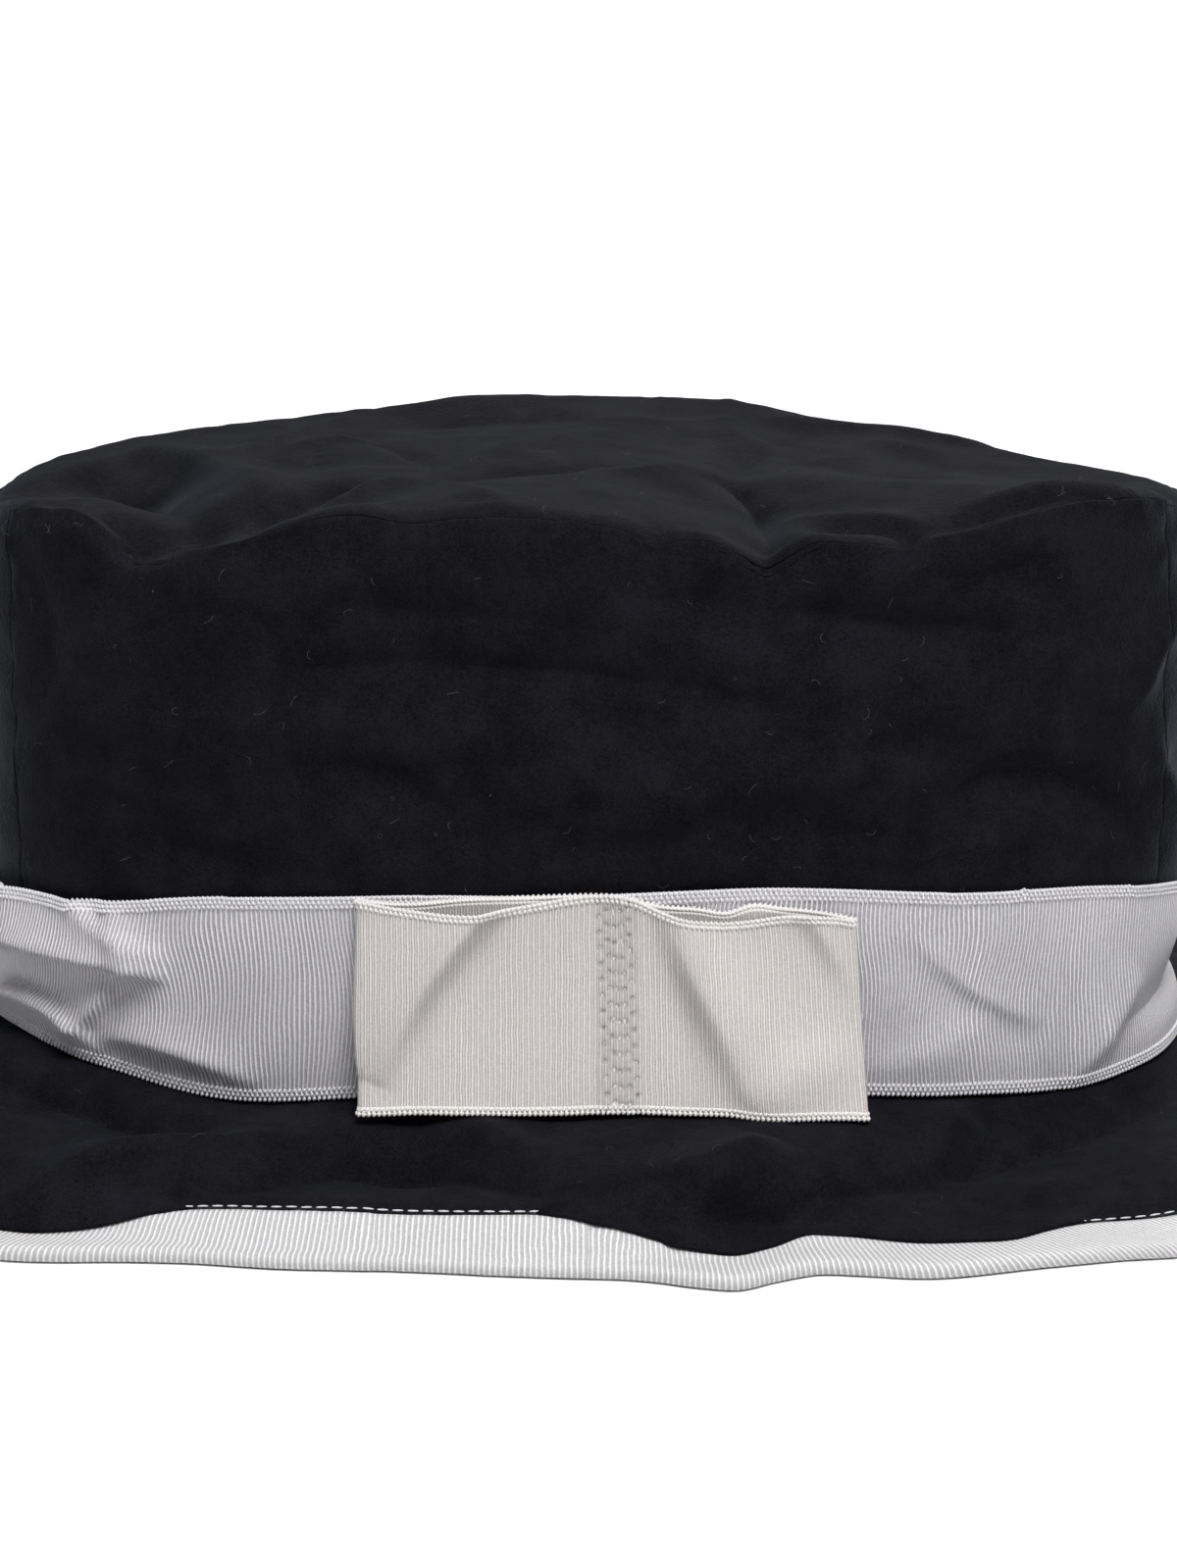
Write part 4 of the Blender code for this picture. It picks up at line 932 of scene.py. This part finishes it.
band_columns = round(around_foot / BAND_STEP)
band_share = np.arange(band_columns) / band_columns
band_v = np.linspace(0, 1, BAND_ROWS + 1)
wall_length = CROWN_HEIGHT * round_value(ROUND_THE_HAT, band_share, 3) - EDGE_ROUND + HALF_ROUND
band_stand = RIBBON_WIDTH * round_value(ROUND_THE_HAT, band_share, 2)
band_up = (BAND_LIFT + band_stand[:, None] * band_v) / wall_length[:, None]
band_wall = crown_points(band_share, band_up)
band_fold = fold_height(BAND_FOLDS, band_share[:, None], band_up, around_foot, CROWN_HEIGHT)
band_clear = BAND_OUT + ripples(band_wall, BAND_WAVES, 13) + np.clip(band_fold, *BAND_FOLD_LIMITS)
band_grid = band_wall + surface_directions(band_wall, closed=True) * band_clear[..., None]
band_strip = side_by_side(band_share[:, None] * around_foot, band_v * SWAY_HEIGHT, 0)
band_sway = ripples(band_strip, BAND_SWAY, 14) * np.sin(np.pi * band_v) ** SWAY_BLUNTNESS
silver_ribbon = ribbed_ribbon(
    "silver_ribbed_ribbon", width=RIBBON_WIDTH, rib=BAND_RIB, depth=0.00024, narrow=3.6, between=0.1,
    roughness=0.38, thread=SILVER, groove_shade=SILVER_GROOVE_SHADE, edge_thread=SILVER_EDGE, edge_rows=2.4,
)
band_uv = ribbon_uv(band_grid, RIBBON_WIDTH, band_sway)
band_faces = grid_faces(*band_grid.shape[:2], closed=True)
band = thicken(add_mesh("band_ribbon", band_grid, band_faces, silver_ribbon, band_uv), BAND_THICK, -1)
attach(band, "root")
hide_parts("hat_band")

# The loops of a ribbon's woven edge: their pitch, size, lean, and how far in and how proud the first row is
LOOP_PITCH = 0.00096
LOOP_SIZE = (0.00066, 0.00080, 0.00112)
LOOP_LEAN = 0.55
LOOP_IN, LOOP_PROUD = 0.2, 0.1


def woven_edges(name, grid, count, material):
    """The woven edges of a closed ribbon: rows of leaning loops at each, half a loop apart."""
    out = surface_directions(grid, closed=True)
    rows = []
    for edge, inner in ((0, 1), (-1, -2)):
        inwards = unit(grid[:, inner] - grid[:, edge])
        for row in range(count):
            line = grid[:, edge] + inwards * EDGE_BEAD * (LOOP_IN + row)
            line = line + out[:, edge] * EDGE_BEAD * LOOP_PROUD
            loops = even_along(line, LOOP_PITCH, out[:, edge], inwards)
            rows.append([(part + np.roll(part, -(row % 2), axis=0)) / 2 for part in loops])
    centres, ways, outs, ups = (np.concatenate(parts) for parts in zip(*rows))
    ups = unit(ups + LOOP_LEAN * ways)
    return bead_cloud(name, centres, np.cross(outs, ups), outs, ups, LOOP_SIZE, material)


silver_thread = spun_fibre("silver_thread", (0.66, 0.65, 0.68), 0.45)
band_edges = woven_edges("band_woven_edges", band_grid, 3, silver_thread)
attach(band_edges, "root")

# Bow: ivory ribbed ribbon folded flat into two loops that stay open at the top, sewn through the band in a
# column of zigzag stitches. Its front layer bulges out from the column and sags at the two mouths.
BOW_RIBBON_WIDTH = 0.0395
BOW_LEFT = -0.0435
BOW_RIGHT = 0.0482
BOW_TO_LEFT = 0.0003
BOW_STITCHED = 0.0043
BOW_STITCHED_HALF = 0.0044
BOW_STITCHED_FALL = 6
BOW_FOOT = 0.0166
BOW_TOP = 0.0566
BOW_FOOT_KICK = 0.0092
BOW_FOOT_FLARE = 0.0026
BOW_THICK = 0.0005
BOW_CLEAR = 0.0004
BOW_STEP = 0.00045
BOW_LEVELS = 84
BOW_TURN_STEPS = 9
BOW_RIB = 0.00103
BAND_FRONT_HALF = 0.06
# The bow's ivory on its rib crests, with a painted highlight, the painted shade of its grooves, and its woven
# edge's colour
IVORY, IVORY_GROOVE_SHADE, IVORY_EDGE = (0.80, 0.765, 0.75), (0.28, 0.257, 0.245), (0.78, 0.76, 0.74)

# Place across, drop of the front layer's upper edge, of the back layer's, and of the foot, in metres
BOW_EDGES = (
    (-0.0435, 0.0020, 0.0020, 0.0006), (-0.0380, 0.0027, 0.0026, 0.0002),
    (-0.0330, 0.0030, 0.0025, -0.0002), (-0.0238, 0.0032, 0.0014, -0.0004),
    (-0.0160, 0.0027, 0.0010, -0.0004), (-0.0110, 0.0020, 0.0008, -0.0004),
    (-0.0040, 0.0008, 0.0006, -0.0004), (0.0000, 0.0005, 0.0005, -0.0004),
    (0.0060, 0.0010, 0.0009, -0.0004), (0.0113, 0.0029, 0.0025, -0.0004),
    (0.0188, 0.0046, 0.0032, -0.0002), (0.0250, 0.0054, 0.0040, 0.0000),
    (0.0284, 0.0053, 0.0028, 0.0003), (0.0352, 0.0046, 0.0035, 0.0008),
    (0.0420, 0.0047, 0.0046, 0.0013), (0.0482, 0.0062, 0.0062, 0.0018),
)

# Bulges of the front layer: a pair is place across, place up, both as shares of the ribbon's width. They
# grow from the stitched column over one distance, and fade at the right end over another
BOW_FOLDS = (
    (0.04, 1.4, 0.5, 0.64, 0.76, -0.1, 0.9, 0.44, 1.15, 1.9),
    (0.82, 1.3, 1.1, 0.84, 1.31, 0.44, 0.7, 0.26, 0.48, 1.7),
    (-0.16, 1.4, -0.68, 0.8, -1.02, 0.14, 0.34, 1.1, 1.0, 1.8),
    (0.74, 0.02, 0.98, 0.24, 1.22, 0.22, 0.5, 0.6, 0.3, 2.0),
)
BULGE_FROM_COLUMN, BULGE_TO_END = 0.010, 0.006

# Place across from the stitched middle, distance there between the two layers' middles, in metres
BOW_HOLLOW = ((0.0000, 0.0007), (0.0044, 0.0008), (0.0090, 0.0014), (0.0300, 0.0018), (0.0480, 0.0016))

# Across the zigzag: holes as place across and place down, as shares of its width and of one repeat
ZIGZAG_HOLES = ((0.00, 0.00), (0.27, 0.52), (0.48, 0.64), (0.74, 0.56), (1.00, 0.05))
ZIGZAG_REPEATS = 14
ZIGZAG_PITCH = 0.00292
ZIGZAG_START = 0.0012
ZIGZAG_WIDTH = 0.0054
ZIGZAG_LEAN = 0.0018
HOLE_SIZE = 0.00034
HOLE_DEPTH = 0.00045
# How much the needle holes, as painted shade, and the stitched column darken the bow and flatten its ribs
HOLE_DARKENING, COLUMN_DARKENING = 0.9, 0.26

# Small puckers between the stitches, longer up than across
PINCHES = ((0.00016, 0.0012),)
PINCH_STRETCH = 0.4

band_front = band_grid[(np.abs(band_grid[:, 0, 0]) < BAND_FRONT_HALF) & (band_grid[:, 0, 1] < 0)]
band_front = band_front[np.argsort(band_front[:, 0, 0])]
band_face = band_front[..., 1].min(axis=1)
edges = np.array(BOW_EDGES)
bow_up = np.linspace(0, 1, BOW_LEVELS + 1)


def bow_layer(across, top_column, forward):
    """A layer of the bow at places across: it follows the band, kicks out at its foot and stands forward."""
    top = BOW_TOP - curve_through(edges[:, 0], edges[:, top_column], across)
    foot = BOW_FOOT - curve_through(edges[:, 0], edges[:, 3], across)
    x = across[:, None] - BOW_TO_LEFT
    y = np.interp(x, band_front[:, 0, 0], band_face) - BOW_CLEAR - BOW_FOOT_KICK * (1 - bow_up) ** 2
    z = foot[:, None] + (top - foot)[:, None] * bow_up
    x = x + BOW_FOOT_FLARE * np.clip(across / BOW_RIGHT, 0, 1)[:, None] * (1 - bow_up)
    return np.stack([x, y - forward, z], axis=-1)


hollow = np.array(BOW_HOLLOW)
end_round = hollow[-1, 1] / 2
front_across = np.arange(BOW_LEFT + end_round, BOW_RIGHT - end_round, BOW_STEP)
from_middle = np.abs(front_across - BOW_STITCHED)
bulge = eased((from_middle - BOW_STITCHED_HALF) / BULGE_FROM_COLUMN)
bulge = bulge * np.clip((BOW_RIGHT - front_across) / BULGE_TO_END, 0, 1)
bow_across = front_across[:, None] / BOW_RIBBON_WIDTH
bulge = bulge[:, None] * fold_height(BOW_FOLDS, bow_across, bow_up, BOW_RIBBON_WIDTH, BOW_RIBBON_WIDTH)
hole = np.array(ZIGZAG_HOLES)
down = (np.arange(ZIGZAG_REPEATS)[:, None] + hole[:, 1]).ravel() * ZIGZAG_PITCH
aside = np.tile(hole[:, 0], ZIGZAG_REPEATS) * ZIGZAG_WIDTH + down / BOW_RIBBON_WIDTH * ZIGZAG_LEAN
aside = aside + BOW_STITCHED - ZIGZAG_WIDTH / 2 - ZIGZAG_LEAN / 2
from_top = ((1 - bow_up) * BOW_RIBBON_WIDTH)[:, None]
from_hole = np.hypot(front_across[:, None, None] - aside, from_top - down - ZIGZAG_START)
holes = np.exp(-((from_hole / HOLE_SIZE) ** 2)).sum(axis=-1)
column_share = np.clip(1 - (from_middle / BOW_STITCHED_HALF) ** BOW_STITCHED_FALL, 0, 1)[:, None]
pinched = side_by_side(front_across[:, None], bow_up * BOW_RIBBON_WIDTH * PINCH_STRETCH, 0)
pinch = ripples(pinched, PINCHES, 15) * column_share
gap = np.interp(from_middle, hollow[:, 0], hollow[:, 1])[:, None]
front_layer = bow_layer(front_across, 1, gap + bulge + pinch - HOLE_DEPTH * holes)
back_layer = bow_layer(front_across[::-2], 2, 0.0)


def bow_fold(here, there, way):
    """The ribbon's turn from one layer to the other: half a circle between their ends."""
    turn = np.linspace(-np.pi / 2, np.pi / 2, BOW_TURN_STEPS)[1:-1, None, None]
    middle, half = (here + there) / 2, (here - there) / 2
    reach = np.abs(half[..., 1:2]) * [way, 0, 0]
    return middle - half * np.sin(turn) + reach * np.cos(turn)


bow_grid = np.concatenate([
    front_layer,
    bow_fold(front_layer[-1], back_layer[0], 1),
    back_layer,
    bow_fold(back_layer[-1], front_layer[0], -1),
])
ivory_ribbon = ribbed_ribbon(
    "ivory_ribbed_ribbon", width=BOW_RIBBON_WIDTH, rib=BOW_RIB, depth=0.00020, narrow=3.0, between=0.72,
    roughness=0.5, thread=IVORY, groove_shade=IVORY_GROOVE_SHADE, edge_thread=IVORY_EDGE, edge_rows=1.8,
)
bow_uv = ribbon_uv(bow_grid, BOW_RIBBON_WIDTH, np.zeros(bow_grid.shape[:2]))
bow_faces = grid_faces(*bow_grid.shape[:2], closed=True)
bow = thicken(add_mesh("bow_ribbon", bow_grid, bow_faces, ivory_ribbon, bow_uv), BOW_THICK, -1)
# Stitched mask: painted shade in the dented needle holes and a darkening along the stitched column; it also
# flattens the ribs
stitched_mask = np.zeros(bow_grid.shape[:2], np.float32)
stitched_mask[: len(front_across)] = np.clip(COLUMN_DARKENING * column_share + HOLE_DARKENING * holes, 0, 1)
bow.data.attributes.new("stitched", "FLOAT", "POINT").data.foreach_set("value", stitched_mask.ravel())
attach(bow, "root")
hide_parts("bow")

ivory_thread = spun_fibre("ivory_thread", (0.74, 0.72, 0.70), 0.5)
bow_edges = woven_edges("bow_woven_edges", bow_grid, 2, ivory_thread)
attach(bow_edges, "root")

# Lint: short pale fibres that the brushed cloth has picked up, lying loose on its nap. Each is a narrow
# strip that curls one way or the other and arches off the cloth.
LINT_HAIRS = 90
LINT_WIDTH = 0.00005
LINT_LENGTH = 0.0023
LINT_LENGTHS = (0.5, 1.5)
LINT_STEPS = 6
LINT_CURL = 2.2
LINT_LIFT, LINT_ARCH = 0.00012, 0.00035


def loose_hairs(name, grid, out, seed, material):
    """Strips scattered evenly by area, which turn at an even rate along their length and arch up."""
    chance = np.random.default_rng(seed)
    area = np.linalg.norm(np.cross(np.gradient(grid, axis=0), np.gradient(grid, axis=1)), axis=-1).ravel()
    chosen = chance.choice(area.size, size=LINT_HAIRS, p=area / area.sum())
    start, up = grid.reshape(-1, 3)[chosen], out.reshape(-1, 3)[chosen]
    side = unit(np.cross(up, chance.normal(size=(LINT_HAIRS, 3))))
    ahead = np.cross(side, up)
    along = np.linspace(0, 1, LINT_STEPS)
    turn = chance.normal(0, LINT_CURL, (LINT_HAIRS, 1)) * along
    size = LINT_LENGTH * chance.uniform(*LINT_LENGTHS, (LINT_HAIRS, 1)) / LINT_STEPS
    way = np.cos(turn)[..., None] * ahead[:, None] + np.sin(turn)[..., None] * side[:, None]
    middle = start[:, None] + np.cumsum(way * size[..., None], axis=1)
    middle += up[:, None] * (LINT_LIFT + LINT_ARCH * np.sin(np.pi * along))[:, None]
    wide = np.cross(up[:, None], way) * LINT_WIDTH / 2
    points = np.stack([middle - wide, middle + wide], axis=2).reshape(LINT_HAIRS, -1, 3)
    step = np.arange(LINT_STEPS - 1)[:, None] * 2 + [0, 2, 3, 1]
    faces = step[None] + 2 * LINT_STEPS * np.arange(LINT_HAIRS)[:, None, None]
    return add_mesh(name, points, faces.reshape(-1, 4), material)


lint_fibre = spun_fibre("pale_lint", (0.075, 0.080, 0.092), 0.8)
for part, grid, out, seed in (
    ("tip", tip_grid, tip_normal, 16),
    ("brim", top, brim_up[:, top_rows], 17),
    ("crown_front", front_grid, front_out, 18),
    ("crown_back", back_grid, back_out, 19),
):
    lint = loose_hairs(f"{part}_lint", grid, out, seed, lint_fibre)
    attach(lint, "root")

# Studio: a plain pale floor under the hat, with soft light from above, in front and behind, and the camera
# at the picture's viewing angle, a little above the crown.
FLOOR_HALF = 4.0
WORLD_STRENGTH = 0.05

# Each light's name, place, aim, width, length and power in watts
LIGHTS = (
    ("overhead", (0, 0.8, 2.8), (0, 0.8, 0), 2.0, 6.0, 84),
    ("front", (0.3, -1.10, 1.95), (0, 0, 0.05), 0.8, 0.8, 42),
    ("behind", (0.45, 1.4, 1.0), (0, 0, 0.1), 0.9, 0.5, 10),
)
CAMERA_DISTANCE = 1.100
CAMERA_ELEVATION = np.radians(16.0)
CAMERA_AIM = CROWN_AXIS + [0, 0, 0.0587]
SENSOR = 36.0
PHOTO_HEIGHT = 1599
FOCAL_PIXELS = 5775

pale_floor, _ = new_material("pale_floor", {"Base Color": (0.93, 0.93, 0.93, 1.0), "Roughness": 0.9})
corners = np.array([[-1, -1, 0], [1, -1, 0], [1, 1, 0], [-1, 1, 0]]) * FLOOR_HALF
floor = add_mesh("floor", corners, np.array([[0, 1, 2, 3]]), pale_floor)

for name, place, aim, width, length, power in LIGHTS:
    light = bpy.data.lights.new(name, "AREA")
    light.shape, light.size, light.size_y, light.energy = "RECTANGLE", width, length, power
    lamp = bpy.data.objects.new(name, light)
    bpy.context.scene.collection.objects.link(lamp)
    lamp.location = place
    lamp.rotation_euler = Vector(np.subtract(aim, place)).to_track_quat("-Z", "Y").to_euler()

world = bpy.data.worlds.new("studio")
bpy.context.scene.world = world
world.use_nodes = True
world.node_tree.nodes["Background"].inputs["Color"].default_value = (1.0, 1.0, 1.0, 1.0)
world.node_tree.nodes["Background"].inputs["Strength"].default_value = WORLD_STRENGTH

camera_data = bpy.data.cameras.new("camera")
camera_data.sensor_width = SENSOR
camera_data.lens = SENSOR * FOCAL_PIXELS / PHOTO_HEIGHT
camera = bpy.data.objects.new("camera", camera_data)
bpy.context.scene.collection.objects.link(camera)
towards_camera = np.array([0, -np.cos(CAMERA_ELEVATION), np.sin(CAMERA_ELEVATION)])
camera.location = CAMERA_AIM + towards_camera * CAMERA_DISTANCE
camera.rotation_euler = (np.pi / 2 - CAMERA_ELEVATION, 0, 0)
bpy.context.scene.camera = camera
bpy.context.scene.view_settings.view_transform = "Standard"
